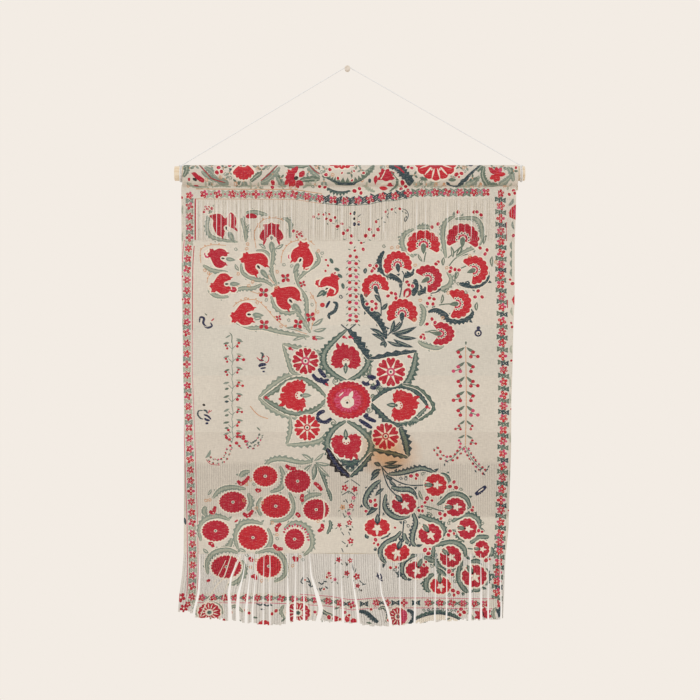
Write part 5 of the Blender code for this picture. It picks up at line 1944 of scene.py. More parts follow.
class Strands:
    """Rows of strand sides, and where a place of the drawing lies on them."""

    def __init__(self, sides_at, rows, share, lift, tips=None):
        self.rows = rows
        self.sides = [sides_at(y, share) for y in rows]
        self.lift = lift
        self.tips = tips

    def row_at(self, y):
        """Row above y and the share of the way to the next row."""
        low = 0
        while low < len(self.rows) - 2 and self.rows[low + 1] < y:
            low += 1
        span = self.rows[low + 1] - self.rows[low]
        return low, min(max((y - self.rows[low]) / span, 0.0), 1.0)

    def locate(self, x, y):
        """Nearest strand, share of its width, and whether the place lies on it."""
        low, t = self.row_at(y)
        upper, lower = self.sides[low], self.sides[low + 1]
        first, last = 0, len(upper) - 1
        while first < last:
            probe = (first + last + 1) // 2
            if upper[probe][0] * (1 - t) + lower[probe][0] * t <= x + 1e-4:
                first = probe
            else:
                last = probe - 1
        best = None
        for strand in (first - 1, first, first + 1):
            if not 0 <= strand < len(upper):
                continue
            start = upper[strand][0] * (1 - t) + lower[strand][0] * t
            end = upper[strand][1] * (1 - t) + lower[strand][1] * t
            share = (x - start) / (end - start)
            off = max(-share, share - 1.0, 0.0)
            if best is None or off < best[0]:
                best = (off, strand, share)
        inside = best[0] < 0.02
        return best[1], min(max(best[2], 0.0), 1.0), inside

    def lines(self):
        """Every strand's sides and two lines between, down its length."""
        found = []
        for strand in range(len(self.sides[0])):
            end = self.tips(strand) if self.tips else self.rows[-1]
            for share in STRAND_LINES:
                path = []
                for y, sides in zip(self.rows, self.sides):
                    start, stop = sides[strand]
                    path.append((start + (stop - start) * share, min(y, end)))
                    if y >= end:
                        break
                found.append(path)
            if self.tips:
                start, stop = self.sides[-1][strand]
                found.append([(start, end), (stop, end)])
        return found

    def place(self, x, y, front=1.0):
        """Point and normal on the half-round front (1) or back (-1) of the nearest strand."""
        strand, share, _ = self.locate(x, y)
        across = 2.0 * share - 1.0
        height = self.lift * math.sqrt(max(1.0 - across * across, 0.0))
        wander = 0.22 * math.sin(strand * 2.4) + 0.12 * math.sin(strand * 5.1 + y * 0.11)
        point = cloth_place(x, y, front * height + wander)
        lean = max(min(across, 0.92), -0.92)
        normal = Vector((lean * 0.9, -front * math.sqrt(1.0 - lean * lean), 0.0)).normalized()
        return point, normal

    def weave(self, x, y):
        """Thread coordinates on the nearest strand, in metres."""
        strand, share, _ = self.locate(x, y)
        return (strand * RIB_PITCH + share * RIB_PITCH, -y * UNIT * MM)


def warp_rows():
    """Rows at which the bare warp cords are shaped."""
    return [OPEN_WARP_TOP + (OPEN_WARP_END - OPEN_WARP_TOP) * row / 12 for row in range(13)]


def tip_row(strand_sides):
    """Function that gives the ragged lower end of a strand of the fringe."""
    def tip(strand):
        start, stop = strand_sides[strand]
        z = interpolate(FRINGE_TIPS, to_x((start + stop) / 2.0), 1)
        ragged = random.Random(strand).uniform(-1.2, 1.0)
        return to_drawing_y(z) + ragged

    return tip


FRINGE_ROWS = [FRINGE_TOP + 2.6 * row for row in range(29)]


def build_strands(name, strands, art_top, art_end):
    """One piece of strands cut out of the drawing."""
    left = min(sides[0][0] for sides in strands.sides) - 0.5
    right = max(sides[-1][1] for sides in strands.sides) + 0.5
    outline = [(left, art_top), (right, art_top), (right, art_end), (left, art_end)]
    made, triangles = cut_drawing(outline, strands.lines(), [])
    ends = [strands.tips(number) for number in range(len(strands.sides[0]))] if strands.tips else None
    kept = []
    for corners, ink, x, y in triangles:
        strand, _, inside = strands.locate(x, y)
        if inside and (ends is None or y < ends[strand]):
            kept.append((corners, ink, x, y))
    return inked_mesh(name, made, kept, strands.place, strands.weave)


def strand_backs(strands, points, faces):
    """Undyed half-round back of every strand, added to these points and faces."""
    for strand in range(len(strands.sides[0])):
        end = strands.tips(strand) if strands.tips else strands.rows[-1]
        rows = [(y, s[strand]) for y, s in zip(strands.rows, strands.sides) if y < end]
        if strands.tips:
            rows.append((end, strands.sides[-1][strand]))
        else:
            rows.append((strands.rows[-1], strands.sides[-1][strand]))
        first = len(points)
        for y, (start, stop) in rows:
            for share in STRAND_LINES:
                points.append(strands.place(start + (stop - start) * share, y, -1.0)[0])
        for row in range(len(rows) - 1):
            for column in range(3):
                corner = first + row * 4 + column
                faces.append((corner, corner + 1, corner + 5, corner + 4))


# ---------------------------------------------------------------- materials


def ink_material_name(ink):
    """Name of the finish that shows this ink."""
    if ink in PLAIN_INKS:
        return "undyed woven cotton, " + ink + " tone"
    return "block printed " + ink + " dye on woven cotton"


def colour_of(name):
    """Colour that the settings hold under this name, with full cover."""
    return (*getattr(bpy.context.scene.hanging_colours, name), 1.0)


def add_node(tree, kind, settings=(), links=()):
    """Adds a node, sets its properties and inputs, and links outputs of others to its inputs."""
    node = tree.nodes.new(kind)
    for key, value in dict(settings).items():
        if isinstance(key, str) and hasattr(node, key):
            setattr(node, key, value)
        else:
            node.inputs[key].default_value = value
    for socket, source in dict(links).items():
        tree.links.new(source, node.inputs[socket])
    return node


# Real sizes of the cloth finish, in metres. Threads of such cotton lie about 0.5 mm apart, too
# fine to show in the render, so the thread pitch is drawn about twice as coarse.
THREAD_PITCH = 0.0011
RIB_FADE = 0.003
STAIN_PLACE = (388, 453)
STAIN_REACH = (0.046, 1.0, 0.036)
WAVE_SCALE = math.pi / 10.0  # over the pitch of the bands: scale of a wave texture
SPAN = ("From Min", "From Max", "To Min", "To Max")


def weave_steps():
    """Steps of the cloth finish: name, node, settings, links from earlier steps, output used."""
    plus, minus, times = ({"operation": word} for word in ("ADD", "SUBTRACT", "MULTIPLY"))
    yarn = {"Scale": 420.0, "Detail": 2.0, "Roughness": 0.6}
    specks = {"Scale": 900.0, "Detail": 3.0, "Roughness": 0.6}
    clouds = {"Scale": 16.0, "Detail": 3.0, "Roughness": 0.6}
    ribs = {
        "wave_type": "BANDS", "bands_direction": "X", "Scale": WAVE_SCALE / RIB_PITCH,
        "Distortion": 0.8, "Detail": 1.0,
    }
    threads = {
        "wave_type": "BANDS", "Scale": WAVE_SCALE / THREAD_PITCH, "Distortion": 1.2, "Detail": 1.0,
    }
    over_ground = {
        "data_type": "RGBA", "blend_type": "MIX", "clamp_factor": True, 7: colour_of("ground"),
    }
    with_stain = {
        "data_type": "RGBA", "blend_type": "MULTIPLY", "clamp_factor": True, 7: colour_of("stain"),
    }
    rib_top, rib_end = to_z(RIB_TOP) * MM, to_z(RIB_END) * MM
    at_end = (rib_end - RIB_FADE, rib_end + RIB_FADE, 0.0, 1.0)
    at_top = (rib_top - RIB_FADE, rib_top + RIB_FADE, 1.0, 0.0)
    spot = {
        "vector_type": "TEXTURE", "Scale": STAIN_REACH,
        "Location": (to_x(STAIN_PLACE[0]) * MM, 0.0, to_z(STAIN_PLACE[1]) * MM),
    }
    return (
        # Slubs: thick and thin places in the yarn, as short streaks across and down.
        ("across", "Mapping", {"Scale": (0.35, 2.4, 1.0)}, {"Vector": "threads"}, 0),
        ("down", "Mapping", {"Scale": (2.4, 0.30, 1.0)}, {"Vector": "threads"}, 0),
        ("weft", "TexNoise", yarn, {"Vector": "across"}, 0),
        ("warp", "TexNoise", yarn, {"Vector": "down"}, 0),
        ("speck", "TexNoise", specks, {"Vector": "threads"}, 0),
        ("cloud", "TexNoise", clouds, {"Vector": "threads"}, 0),
        # Print wear: pale specks where the ink missed or rubbed off the raised yarn.
        ("half weft", "Math", {**times, 1: 0.5}, {0: "weft"}, 0),
        ("half speck", "Math", {**times, 1: 0.5}, {0: "speck"}, 0),
        ("raised", "Math", plus, {0: "half weft", 1: "half speck"}, 0),
        ("rubbed", "MapRange", dict(zip(SPAN, (0.52, 0.68, 0.0, 1.0))), {"Value": "raised"}, 0),
        ("bare", "Math", times, {0: "rubbed", 1: "wear"}, 0),
        ("printed", "Mix", over_ground, {0: "bare", 6: "ink"}, 2),
        # Tone: lighter and darker yarn, and soft clouds over the whole cloth.
        ("weft tone", "MapRange", dict(zip(SPAN, (0.3, 0.7, -0.07, 0.07))), {"Value": "weft"}, 0),
        ("warp tone", "MapRange", dict(zip(SPAN, (0.3, 0.7, -0.06, 0.06))), {"Value": "warp"}, 0),
        ("soft tone", "MapRange", dict(zip(SPAN, (0.3, 0.7, 0.96, 1.04))), {"Value": "cloud"}, 0),
        ("yarn tone", "Math", plus, {0: "weft tone", 1: "warp tone"}, 0),
        ("tone", "Math", plus, {0: "yarn tone", 1: "soft tone"}, 0),
        # Ribs: painted shade in the grooves between cords, darkening the colour only in the ribbed band.
        ("height", "SeparateXYZ", {}, {"Vector": "place"}, 2),
        ("over end", "MapRange", dict(zip(SPAN, at_end)), {"Value": "height"}, 0),
        ("under top", "MapRange", dict(zip(SPAN, at_top)), {"Value": "height"}, 0),
        ("in ribs", "Math", times, {0: "over end", 1: "under top"}, 0),
        ("cord", "TexWave", ribs, {"Vector": "threads"}, 1),
        ("gap", "Math", {**minus, 0: 1.0}, {1: "cord"}, 0),
        ("groove", "Math", times, {0: "gap", 1: "in ribs"}, 0),
        ("painted groove shade", "Math", {**times, 1: 0.17}, {0: "groove"}, 0),
        ("shade", "Math", minus, {0: "tone", 1: "painted groove shade"}, 0),
        # Stain: one faint tea-coloured patch with a ragged edge.
        ("spot", "Mapping", spot, {"Vector": "place"}, 0),
        ("distance", "VectorMath", {"operation": "LENGTH"}, {0: "spot"}, 1),
        ("ragged", "MapRange", dict(zip(SPAN, (0.3, 0.7, -0.22, 0.22))), {"Value": "cloud"}, 0),
        ("reach", "Math", plus, {0: "distance", 1: "ragged"}, 0),
        ("soaked", "MapRange", dict(zip(SPAN, (0.2, 1.0, 0.82, 0.0))), {"Value": "reach"}, 0),
        ("patch", "Math", times, {0: "soaked", 1: "stain"}, 0),
        ("stained", "Mix", with_stain, {0: "patch", 6: "printed"}, 2),
        # The colour is scaled by the yarn tone and by the painted shade of the rib grooves.
        ("Colour", "VectorMath", {"operation": "SCALE"}, {0: "stained", "Scale": "shade"}, 0),
        # Relief: the crossing threads, their slubs and the grooves between ribs.
        ("over", "TexWave", {**threads, "bands_direction": "Y"}, {"Vector": "threads"}, 1),
        ("under", "TexWave", {**threads, "bands_direction": "X"}, {"Vector": "threads"}, 1),
        ("half over", "Math", {**times, 1: 0.5}, {0: "over"}, 0),
        ("half under", "Math", {**times, 1: 0.5}, {0: "under"}, 0),
        ("crossing", "Math", plus, {0: "half over", 1: "half under"}, 0),
        ("slubs", "Math", {**times, 1: 0.8}, {0: "weft"}, 0),
        ("uneven", "Math", plus, {0: "crossing", 1: "slubs"}, 0),
        ("groove depth", "Math", {**times, 1: 3.0}, {0: "groove"}, 0),
        ("relief", "Math", minus, {0: "uneven", 1: "groove depth"}, 0),
        ("Normal", "Bump", {"Strength": 0.55, "Distance": 0.0004}, {"Height": "relief"}, 0),
    )


def cotton_weave_group():
    """Shared cloth finish: threads in two directions, slubs, worn specks, ribs with painted shade in their
    grooves and a faint stain.
    """
    tree = bpy.data.node_groups.new("woven cotton", "ShaderNodeTree")
    for name, way, kind in (
        ("Ink", "INPUT", "Color"), ("Wear", "INPUT", "Float"), ("Stain", "INPUT", "Float"),
        ("Colour", "OUTPUT", "Color"), ("Normal", "OUTPUT", "Vector"),
    ):
        tree.interface.new_socket(name, in_out=way, socket_type="NodeSocket" + kind)
    inputs = add_node(tree, "NodeGroupInput").outputs
    steps = {
        "ink": inputs["Ink"], "wear": inputs["Wear"], "stain": inputs["Stain"],
        "threads": add_node(tree, "ShaderNodeUVMap", {"uv_map": "threads"}).outputs["UV"],
        "place": add_node(tree, "ShaderNodeNewGeometry").outputs["Position"],
    }
    for name, kind, settings, links, output in weave_steps():
        sources = {socket: steps[source] for socket, source in links.items()}
        steps[name] = add_node(tree, "ShaderNode" + kind, settings, sources).outputs[output]
    add_node(tree, "NodeGroupOutput", {}, {name: steps[name] for name in ("Colour", "Normal")})
    return tree


def cloth_material(name, colour, wear, group, stain=1.0):
    """Matt dyed or undyed cotton: no shine, with a faint sheen from loose fibres."""
    material = bpy.data.materials.new(name)
    material.use_nodes = True
    tree = material.node_tree
    surface = tree.nodes["Principled BSDF"]
    weave = tree.nodes.new("ShaderNodeGroup")
    weave.node_tree = group
    weave.inputs["Ink"].default_value = colour_of(colour)
    weave.inputs["Wear"].default_value = wear
    weave.inputs["Stain"].default_value = stain
    tree.links.new(weave.outputs["Colour"], surface.inputs["Base Color"])
    tree.links.new(weave.outputs["Normal"], surface.inputs["Normal"])
    surface.inputs["Roughness"].default_value = 0.88
    surface.inputs["IOR"].default_value = 1.45
    surface.inputs["Specular IOR Level"].default_value = 0.25
    surface.inputs["Sheen Weight"].default_value = 0.08
    return material


def wood_material(name, pale, dark, grain_axis):
    """Sanded, uncoated birch with fine grain along one axis."""
    material = bpy.data.materials.new(name)
    material.use_nodes = True
    tree = material.node_tree
    surface = tree.nodes["Principled BSDF"]
    place = add_node(tree, "ShaderNodeTexCoord")
    scale = [60.0, 60.0, 60.0]
    scale[grain_axis] = 3.0
    mapping = add_node(tree, "ShaderNodeMapping", {"Scale": scale}, {"Vector": place.outputs["Object"]})
    grain = add_node(
        tree, "ShaderNodeTexNoise", {"Scale": 8.0, "Detail": 6.0, "Roughness": 0.65},
        {"Vector": mapping.outputs["Vector"]},
    )
    ramp = add_node(tree, "ShaderNodeValToRGB", {}, {"Fac": grain.outputs["Fac"]})
    ramp.color_ramp.elements[0].position = 0.32
    ramp.color_ramp.elements[0].color = colour_of(dark)
    ramp.color_ramp.elements[1].position = 0.62
    ramp.color_ramp.elements[1].color = colour_of(pale)
    bump = add_node(
        tree, "ShaderNodeBump", {"Strength": 0.35, "Distance": 0.0003}, {"Height": grain.outputs["Fac"]},
    )
    rough = add_node(
        tree, "ShaderNodeMapRange", {"To Min": 0.5, "To Max": 0.68}, {"Value": grain.outputs["Fac"]}
    )
    tree.links.new(ramp.outputs["Color"], surface.inputs["Base Color"])
    tree.links.new(bump.outputs["Normal"], surface.inputs["Normal"])
    tree.links.new(rough.outputs["Result"], surface.inputs["Roughness"])
    surface.inputs["IOR"].default_value = 1.5
    return material


def twisted_cord_material(name):
    """Twisted pale cotton cord."""
    material = bpy.data.materials.new(name)
    material.use_nodes = True
    tree = material.node_tree
    surface = tree.nodes["Principled BSDF"]
    place = add_node(tree, "ShaderNodeTexCoord")
    fibres = add_node(
        tree, "ShaderNodeTexNoise", {"Scale": 900.0, "Detail": 3.0}, {"Vector": place.outputs["Object"]}
    )
    ramp = add_node(tree, "ShaderNodeValToRGB", {}, {"Fac": fibres.outputs["Fac"]})
    ramp.color_ramp.elements[0].position = 0.3
    ramp.color_ramp.elements[0].color = colour_of("cord_dark")
    ramp.color_ramp.elements[1].position = 0.7
    ramp.color_ramp.elements[1].color = colour_of("cord_pale")
    bump = add_node(
        tree, "ShaderNodeBump", {"Strength": 0.5, "Distance": 0.0002}, {"Height": fibres.outputs["Fac"]},
    )
    tree.links.new(ramp.outputs["Color"], surface.inputs["Base Color"])
    tree.links.new(bump.outputs["Normal"], surface.inputs["Normal"])
    surface.inputs["Roughness"].default_value = 0.85
    return material


def make_materials():
    """Every finish of the hanging."""
    group = cotton_weave_group()
    # Block printed cotton: flat matt colour in the cloth, with pale specks of missed ground.
    # Undyed cotton: the same weave in warm greys, a little different from strip to strip; the fine tone also
    # paints shade on and under the sleeve, the thread tone highlight on the fringe.
    for ink in INKS:
        wear = 0.0 if ink in PLAIN_INKS else (0.35 if ink in ("crimson", "scarlet") else 0.5)
        cloth_material(ink_material_name(ink), ink, wear, group)
    # Unprinted back: plain cotton a shade warmer than the face, nearly without the stain.
    cloth_material("undyed woven cotton, unprinted back", "back", 0.0, group, 0.2)
    # Sanded birch: pale, satin at most, with fine grain along the dowel and across the peg's end.
    wood_material("sanded birch dowel", "dowel_pale", "dowel_dark", 0)
    wood_material("turned birch peg", "peg_pale", "peg_dark", 1)
    # Twisted cord: nearly white and matt, with a slight roughness from its fibres.
    twisted_cord_material("twisted cotton cord")


# ---------------------------------------------------------------- settings

class HangingColourSettings(bpy.types.PropertyGroup):
    """Colours of the inks, the stain, the undyed back, the wood, the cord and the stage"""


for colour_name, colour_code in (INKS | OTHER_COLOURS).items():
    plain_name = colour_name.replace("_", " ")
    HangingColourSettings.__annotations__[colour_name] = FloatVectorProperty(
        name=plain_name.capitalize(), description="Colour: " + plain_name, subtype="COLOR",
        min=0.0, max=1.0, default=srgb(colour_code),
    )


class HangingClothSettings(bpy.types.PropertyGroup):
    dot_step: FloatProperty(
        name="Fold detail", description="Spacing of the points that carry the folds, in drawing units",
        default=5.5, min=3.0, max=12.0,
    )
    sheet_length: FloatProperty(
        name="Cut length", description="Flat length of the cloth before it was hung, without the fringe",
        default=0.545, unit="LENGTH",
    )
    sheet_width: FloatProperty(
        name="Cut width", description="Flat width of the cloth", default=0.434, unit="LENGTH",
    )


class HangingStrandSettings(bpy.types.PropertyGroup):
    fringe_share: FloatProperty(
        name="Fringe fill", description="Share of the pitch that a strand of the fringe covers",
        default=0.985, subtype="FACTOR",
    )
    warp_share: FloatProperty(
        name="Bare warp fill", description="Share of the pitch that a bare warp cord covers",
        default=0.94, subtype="FACTOR",
    )
    strand_lift: FloatProperty(
        name="Strand half thickness", description="Half thickness of a strand, in millimetres",
        default=0.6,
    )


class HangingHardwareSettings(bpy.types.PropertyGroup):
    turned_sides: IntProperty(
        name="Turned sides", description="Sides of the turned wooden pieces", default=96,
    )
    cord_radius: FloatProperty(
        name="Cord radius", description="Radius of the hanging cord", default=0.0006, unit="LENGTH",
    )


class HangingStageSettings(bpy.types.PropertyGroup):
    key_power: FloatProperty(
        name="Key light power", description="Power of the large soft light", default=9.0, unit="POWER",
    )
    wall_level: FloatProperty(
        name="Surroundings level", description="Brightness of the pale surroundings", default=1.0,
    )


# ---------------------------------------------------------------- operators


class HANGING_OT_materials(bpy.types.Operator):
    """Makes the cotton, birch and cord finishes"""

    bl_idname = "hanging.materials"
    bl_label = "Make finishes"

    def execute(self, context):
        make_materials()
        return {"FINISHED"}


class HANGING_OT_cord(bpy.types.Operator):
    """Runs the hanging cord from round the dowel over the peg and back"""

    bl_idname = "hanging.cord"
    bl_label = "Hang the cord"

    def execute(self, context):
        settings = context.scene.hanging_hardware
        path = cord_path()
        curve = bpy.data.curves.new("hanging cord", "CURVE")
        curve.dimensions = "3D"
        curve.bevel_depth = settings.cord_radius
        curve.bevel_resolution = 4
        curve.use_fill_caps = True
        spline = curve.splines.new("POLY")
        spline.points.add(len(path) - 1)
        for point, place in zip(spline.points, path):
            point.co = (*place, 1.0)
        curve.materials.append(bpy.data.materials["twisted cotton cord"])
        cord = link(bpy.data.objects.new("hanging_cord", curve))
        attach(cord, "root")
        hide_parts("cord")
        length = sum((b - a).length for a, b in zip(path, path[1:]))
        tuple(path[0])
        return {"FINISHED"}


# The cord's route: the turns round the dowel at each side, then over the peg, in metres and
# degrees.
CORD_LEFT_START = -0.2158
CORD_RIGHT_START = 0.2252
CORD_TURN_RADIUS = 0.01075
CORD_TURN_PITCH = 0.0017
CORD_TURNS = 2
CORD_LEAVE_ANGLE = 105.0
CORD_RISE_RADIUS = 0.003
CORD_ON_PEG_Y = -0.006
CORD_PEG_RADIUS = 0.003
CORD_SLOPE = 31.0


def cord_path():
    """Points along the middle of the cord, from end to end."""
    centre = Vector(DOWEL_CENTRE) * MM

    def turns(x_start, outward):
        steps = CORD_TURNS * 36
        points = []
        for step in range(steps + 1):
            angle = math.radians(CORD_LEAVE_ANGLE + 10.0 * (steps - step))
            x = x_start + outward * CORD_TURN_PITCH * (steps - step) / 36.0
            y = centre.y + CORD_TURN_RADIUS * math.cos(angle)
            z = centre.z + CORD_TURN_RADIUS * math.sin(angle)
            points.append(Vector((x, y, z)))
        return points

    def rise(start, heading, target):
        end = start
        for _ in range(4):
            aim = (target - end).normalized()
            side = (aim - aim.dot(heading) * heading).normalized()
            turn = math.acos(aim.dot(heading))
            points = []
            for step in range(1, 7):
                angle = turn * step / 6
                along = CORD_RISE_RADIUS * math.sin(angle)
                across = CORD_RISE_RADIUS * (1.0 - math.cos(angle))
                points.append(start + heading * along + side * across)
            end = points[-1]
        return points

    leave = math.radians(CORD_LEAVE_ANGLE)
    heading = Vector((0.0, math.sin(leave), -math.cos(leave)))
    over = []
    for share in (1.0, 0.5, 0.0, -0.5, -1.0):
        angle = math.radians(90.0 + CORD_SLOPE * share)
        over.append(
            Vector((CORD_PEG_RADIUS * math.cos(angle), CORD_ON_PEG_Y, CORD_PEG_RADIUS * math.sin(angle)))
        )
    left = turns(CORD_LEFT_START, -1.0)
    right = turns(CORD_RIGHT_START, 1.0)
    path = left + rise(left[-1], heading, over[0]) + over
    path += list(reversed(rise(right[-1], heading, over[-1]))) + list(reversed(right))
    return path


# Turned pieces: half the dowel's length and its edge radius in metres, then the peg's outline
# from its flat back to its head, as (radius, distance from the wall).
DOWEL_HALF = 0.2285
DOWEL_EDGE = 0.0012
DOWEL_TIP = 0.0004
PEG_SHANK = (
    (0.0001, 0.0), (0.0034, 0.0), (0.0035, 0.0001), (0.0035, 0.0014), (0.0034, 0.0015),
    (0.0020, 0.0023), (0.0020, 0.0097), (0.0036, 0.0104), (0.00365, 0.0106),
)
PEG_HEAD = (0.00365, 0.0135)
PEG_ROUND = 0.001
PEG_HOLLOW = ((0.0020, 0.0132), (0.0014, 0.0131), (0.0001, 0.0131))
SHARP_ANGLE = 50.0
BACK_COLUMNS = 44


def revolved(name, profile, axis, sides, material):
    """Turned solid: profile of (radius, place along the axis) in metres, closed at both ends."""
    points, faces = [], []
    for radius, along in profile:
        for side in range(sides):
            angle = 2.0 * math.pi * side / sides
            u, v = radius * math.cos(angle), radius * math.sin(angle)
            points.append((along, u, v) if axis == 0 else (v, -along, u))
    for ring in range(len(profile) - 1):
        for side in range(sides):
            after = (side + 1) % sides
            a, b = ring * sides + side, ring * sides + after
            faces.append((a, b, b + sides, a + sides))
    faces.append(tuple(reversed(range(sides))))
    faces.append(tuple(range((len(profile) - 1) * sides, len(profile) * sides)))
    mesh = bpy.data.meshes.new(name)
    mesh.from_pydata(points, [], faces)
    mesh.validate()
    mesh.materials.append(bpy.data.materials[material])
    mesh.shade_smooth()
    mesh.set_sharp_from_angle(angle=math.radians(SHARP_ANGLE))
    return link(bpy.data.objects.new(name, mesh))


class HANGING_OT_hardware(bpy.types.Operator):
    """Turns the dowel and the peg"""

    bl_idname = "hanging.hardware"
    bl_label = "Turn the dowel and peg"

    def execute(self, context):
        sides = context.scene.hanging_hardware.turned_sides
        half, radius, edge = DOWEL_HALF, DOWEL_RADIUS * MM, DOWEL_EDGE
        profile = [(DOWEL_TIP, -half)]
        for step in range(7):
            angle = math.radians(90.0 * step / 6)
            profile.append((radius - edge + edge * math.sin(angle), -half + edge - edge * math.cos(angle)))
        for step in range(1, 24):
            profile.append((radius, -half + edge + (2.0 * (half - edge)) * step / 24))
        profile += [(reach, -along) for reach, along in reversed(profile[1:8])]
        profile.append((DOWEL_TIP, half))
        dowel = revolved("birch_dowel", profile, 0, sides, "sanded birch dowel")
        dowel.location = Vector(DOWEL_CENTRE) * MM
        peg_profile = list(PEG_SHANK)
        for step in range(7):
            angle = math.radians(90.0 * step / 6)
            peg_profile.append((
                PEG_HEAD[0] - PEG_ROUND * (1.0 - math.cos(angle)),
                PEG_HEAD[1] - PEG_ROUND * (1.0 - math.sin(angle)),
            ))
        peg_profile += PEG_HOLLOW
        peg = revolved("birch_peg", peg_profile, 1, sides, "turned birch peg")
        for obj, node in ((dowel, "dowel"), (peg, "peg")):
            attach(obj, "root")
            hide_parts(node)
        return {"FINISHED"}


def undyed_mesh(name, points, faces):
    """Smooth piece of undyed cloth, with its thread coordinates taken from its places."""
    mesh = bpy.data.meshes.new(name)
    mesh.from_pydata(points, [], faces)
    layer = mesh.uv_layers.new(name="threads")
    values = []
    for loop in mesh.loops:
        place = points[loop.vertex_index]
        values.extend((place.x, place.z))
    layer.data.foreach_set("uv", values)
    mesh.materials.append(bpy.data.materials["undyed woven cotton, unprinted back"])
    mesh.shade_smooth()
    return link(bpy.data.objects.new(name, mesh))


def plain_zone(name, top, end, step, extra_rows):
    """One plain woven zone of the cloth, cut out of the drawing."""
    rows = [top + (end - top) * row / 24 for row in range(25)]
    left = [(side_edges(y)[0], y) for y in rows]
    right = [(side_edges(y)[1], y) for y in rows]
    lines = []
    for y in extra_rows:
        x0, x1 = side_edges(y)
        lines.append([(x0 - 1.0, y)] + [(x0 + (x1 - x0) * k / 40, y) for k in range(41)] + [(x1 + 1.0, y)])
    lowest_x, highest_x = min(p[0] for p in left), max(p[0] for p in right)
    dots = grid_dots(lowest_x, highest_x, top, end, step)
    made, triangles = cut_drawing(left + right[::-1], lines, dots)
    return inked_mesh(name, made, triangles, face_place, plain_weave)


class HANGING_OT_cloth(bpy.types.Operator):
    """Hangs the printed cloth: sleeve, plain zones, bare warp band and unprinted back"""

    bl_idname = "hanging.cloth"
    bl_label = "Hang the cloth"

    def execute(self, context):
        cloth = context.scene.hanging_cloth
        strands = context.scene.hanging_strands
        step = cloth.dot_step
        sleeve_rows = frange(FLAP_ROW + 1.2, PANEL_ROW, 1.3)
        upper = plain_zone("cloth_sleeve", FLAP_ROW, OPEN_WARP_TOP, step, sleeve_rows)
        middle = plain_zone("cloth_middle", OPEN_WARP_END, FINE_TOP, step, (COOL_TOP, COOL_END))
        lower = plain_zone("cloth_lower", FINE_TOP, FRINGE_TOP, step, (RIB_TOP, RIB_END))
        warp = Strands(warp_sides, warp_rows(), strands.warp_share, strands.strand_lift)
        band = build_strands("cloth_bare_warp", warp, OPEN_WARP_TOP, OPEN_WARP_END)
        points, faces = [], []
        for top, end, count in (
            (FLAP_ROW, PANEL_ROW, 60), (PANEL_ROW, OPEN_WARP_TOP, 6),
            (OPEN_WARP_END, FRINGE_TOP, 60),
        ):
            first = len(points)
            for row in range(count + 1):
                y = top + (end - top) * row / count
                x0, x1 = side_edges(y)
                points.append(cloth_place(x0, y, SHEET_HALF))
                for column in range(BACK_COLUMNS + 1):
                    x = x0 + (x1 - x0) * column / BACK_COLUMNS
                    points.append(cloth_place(x, y, -SHEET_HALF))
                points.append(cloth_place(x1, y, SHEET_HALF))
            across = BACK_COLUMNS + 3
            for row in range(count):
                for column in range(across - 1):
                    corner = first + row * across + column
                    faces.append((corner, corner + 1, corner + 1 + across, corner + across))
        for y, other in ((FLAP_ROW, 1), (OPEN_WARP_TOP, 0), (OPEN_WARP_END, 1), (FRINGE_TOP, 0)):
            first = len(points)
            x0, x1 = side_edges(y)
            for column in range(BACK_COLUMNS + 1):
                x = x0 + (x1 - x0) * column / BACK_COLUMNS
                points.append(cloth_place(x, y, SHEET_HALF))
                points.append(cloth_place(x, y, -SHEET_HALF))
            for column in range(BACK_COLUMNS):
                corner = first + column * 2
                faces.append((corner, corner + 1, corner + 3, corner + 2))
        strand_backs(warp, points, faces)
        back = undyed_mesh("cloth_back", points, faces)
        back.data.set_sharp_from_angle(angle=math.radians(SHARP_ANGLE))
        for obj in (back, upper, band, middle, lower):
            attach(obj, "root")
            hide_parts("cloth")
        fringe = hang_fringe(strands)
        return {"FINISHED"}


def hang_fringe(settings):
    """The printed strands of warp below the cloth and their undyed backs."""
    lowest = fringe_sides(FRINGE_ROWS[-1], settings.fringe_share)
    strands = Strands(
        fringe_sides, FRINGE_ROWS, settings.fringe_share, settings.strand_lift, tip_row(lowest),
    )
    front = build_strands("fringe_strands", strands, FRINGE_TOP, FRINGE_ROWS[-1])
    points, faces = [], []
    strand_backs(strands, points, faces)
    backs = undyed_mesh("fringe_backs", points, faces)
    for obj in (front, backs):
        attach(obj, "root")
        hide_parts("fringe")
    return [front, backs]


# The stage, in metres: a long lens straight in front, a large soft light and a pale floor.
CAMERA_PLACE = (0.0034, -2.5505, -0.368)
CAMERA_LENS = 100.0
CAMERA_SENSOR = 36.0
LIGHT_PLACE = (-0.9, -1.9, 1.3)
LIGHT_AIM = (0.0, 0.0, -0.35)
LIGHT_SIZE = 1.6
LIGHT_COLOUR = (0.97, 0.98, 1.0)
FLOOR_REACH = 3.5
FLOOR_HEIGHT = -1.5


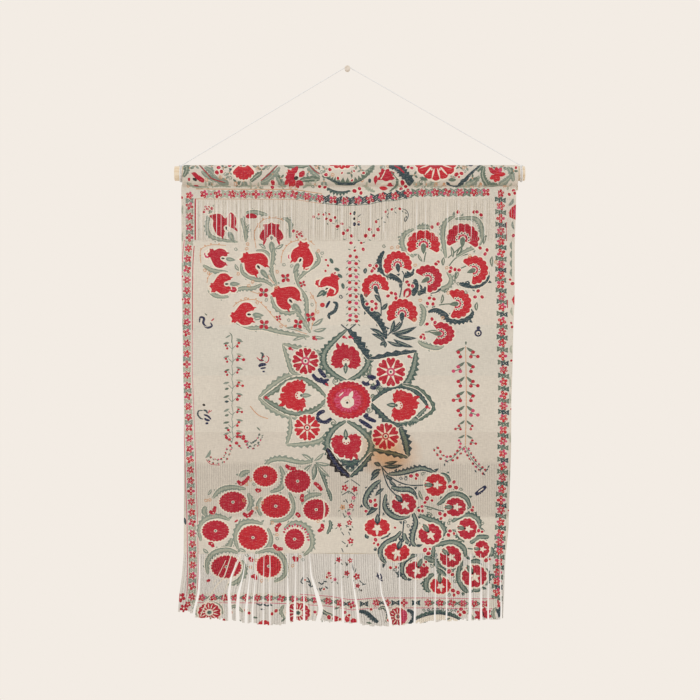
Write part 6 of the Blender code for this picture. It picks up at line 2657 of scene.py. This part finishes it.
class HANGING_OT_stage(bpy.types.Operator):
    """Sets the floor, surroundings, soft light and camera"""

    bl_idname = "hanging.stage"
    bl_label = "Set the stage"

    def execute(self, context):
        scene = context.scene
        settings = scene.hanging_stage
        camera_data = bpy.data.cameras.new("camera")
        camera_data.lens = CAMERA_LENS
        camera_data.sensor_width = CAMERA_SENSOR
        camera = link(bpy.data.objects.new("camera", camera_data))
        camera.location = CAMERA_PLACE
        camera.rotation_euler = (math.pi / 2.0, 0.0, 0.0)
        scene.camera = camera
        world = bpy.data.worlds.new("pale surroundings")
        scene.world = world
        world.use_nodes = True
        background = world.node_tree.nodes["Background"]
        background.inputs["Color"].default_value = colour_of("surroundings")
        background.inputs["Strength"].default_value = settings.wall_level
        light_data = bpy.data.lights.new("key", "AREA")
        light_data.energy = settings.key_power
        light_data.size = LIGHT_SIZE
        light_data.color = LIGHT_COLOUR
        light = link(bpy.data.objects.new("key", light_data))
        light.location = LIGHT_PLACE
        aim = Vector(LIGHT_AIM) - light.location
        light.rotation_euler = aim.to_track_quat("-Z", "Y").to_euler()
        floor_mesh = bpy.data.meshes.new("floor")
        corners = [
            (FLOOR_REACH * x, FLOOR_REACH * y, FLOOR_HEIGHT) for x, y in ((-1, -1), (1, -1), (1, 1), (-1, 1))
        ]
        floor_mesh.from_pydata(corners, [], [(0, 1, 2, 3)])
        floor_material = bpy.data.materials.new("matt painted floor")
        floor_material.use_nodes = True
        paint = floor_material.node_tree.nodes["Principled BSDF"]
        paint.inputs["Base Color"].default_value = colour_of("floor")
        paint.inputs["Roughness"].default_value = 0.8
        floor_mesh.materials.append(floor_material)
        floor = link(bpy.data.objects.new("floor", floor_mesh))
        scene.view_settings.view_transform = "Standard"
        scene.view_settings.look = "None"
        scene.view_settings.exposure = 0.0
        scene.view_settings.gamma = 1.0
        return {"FINISHED"}


class HANGING_PT_panel(bpy.types.Panel):
    bl_label = "Wall hanging"
    bl_idname = "HANGING_PT_panel"
    bl_space_type = "VIEW_3D"
    bl_region_type = "UI"
    bl_category = "Hanging"

    def draw(self, context):
        scene = context.scene
        groups = (
            (scene.hanging_colours, "hanging.materials"), (scene.hanging_strands, None),
            (scene.hanging_cloth, "hanging.cloth"),
            (scene.hanging_hardware, "hanging.hardware"), (scene.hanging_stage, "hanging.stage"),
        )
        self.layout.operator("hanging.cord")
        for settings, operator in groups:
            box = self.layout.box()
            for name in settings.__annotations__:
                box.prop(settings, name)
            if operator:
                box.operator(operator)


CLASSES = (
    HangingColourSettings, HangingClothSettings, HangingStrandSettings, HangingHardwareSettings,
    HangingStageSettings, HANGING_OT_materials, HANGING_OT_cord, HANGING_OT_hardware, HANGING_OT_cloth,
    HANGING_OT_stage, HANGING_PT_panel,
)
SETTINGS = {
    "hanging_colours": HangingColourSettings,
    "hanging_cloth": HangingClothSettings,
    "hanging_strands": HangingStrandSettings,
    "hanging_hardware": HangingHardwareSettings,
    "hanging_stage": HangingStageSettings,
}


def register():
    """Adds the settings, operators and panel."""
    for item in CLASSES:
        bpy.utils.register_class(item)
    for name, group in SETTINGS.items():
        setattr(bpy.types.Scene, name, PointerProperty(type=group))


def unregister():
    """Takes them away again."""
    for name in SETTINGS:
        delattr(bpy.types.Scene, name)
    for item in reversed(CLASSES):
        bpy.utils.unregister_class(item)


def main():
    """Builds the hanging and its stage."""
    register()
    bpy.ops.hanging.materials()
    bpy.ops.hanging.cord()
    bpy.ops.hanging.hardware()
    bpy.ops.hanging.cloth()
    bpy.ops.hanging.stage()


if __name__ == "__main__":
    main()
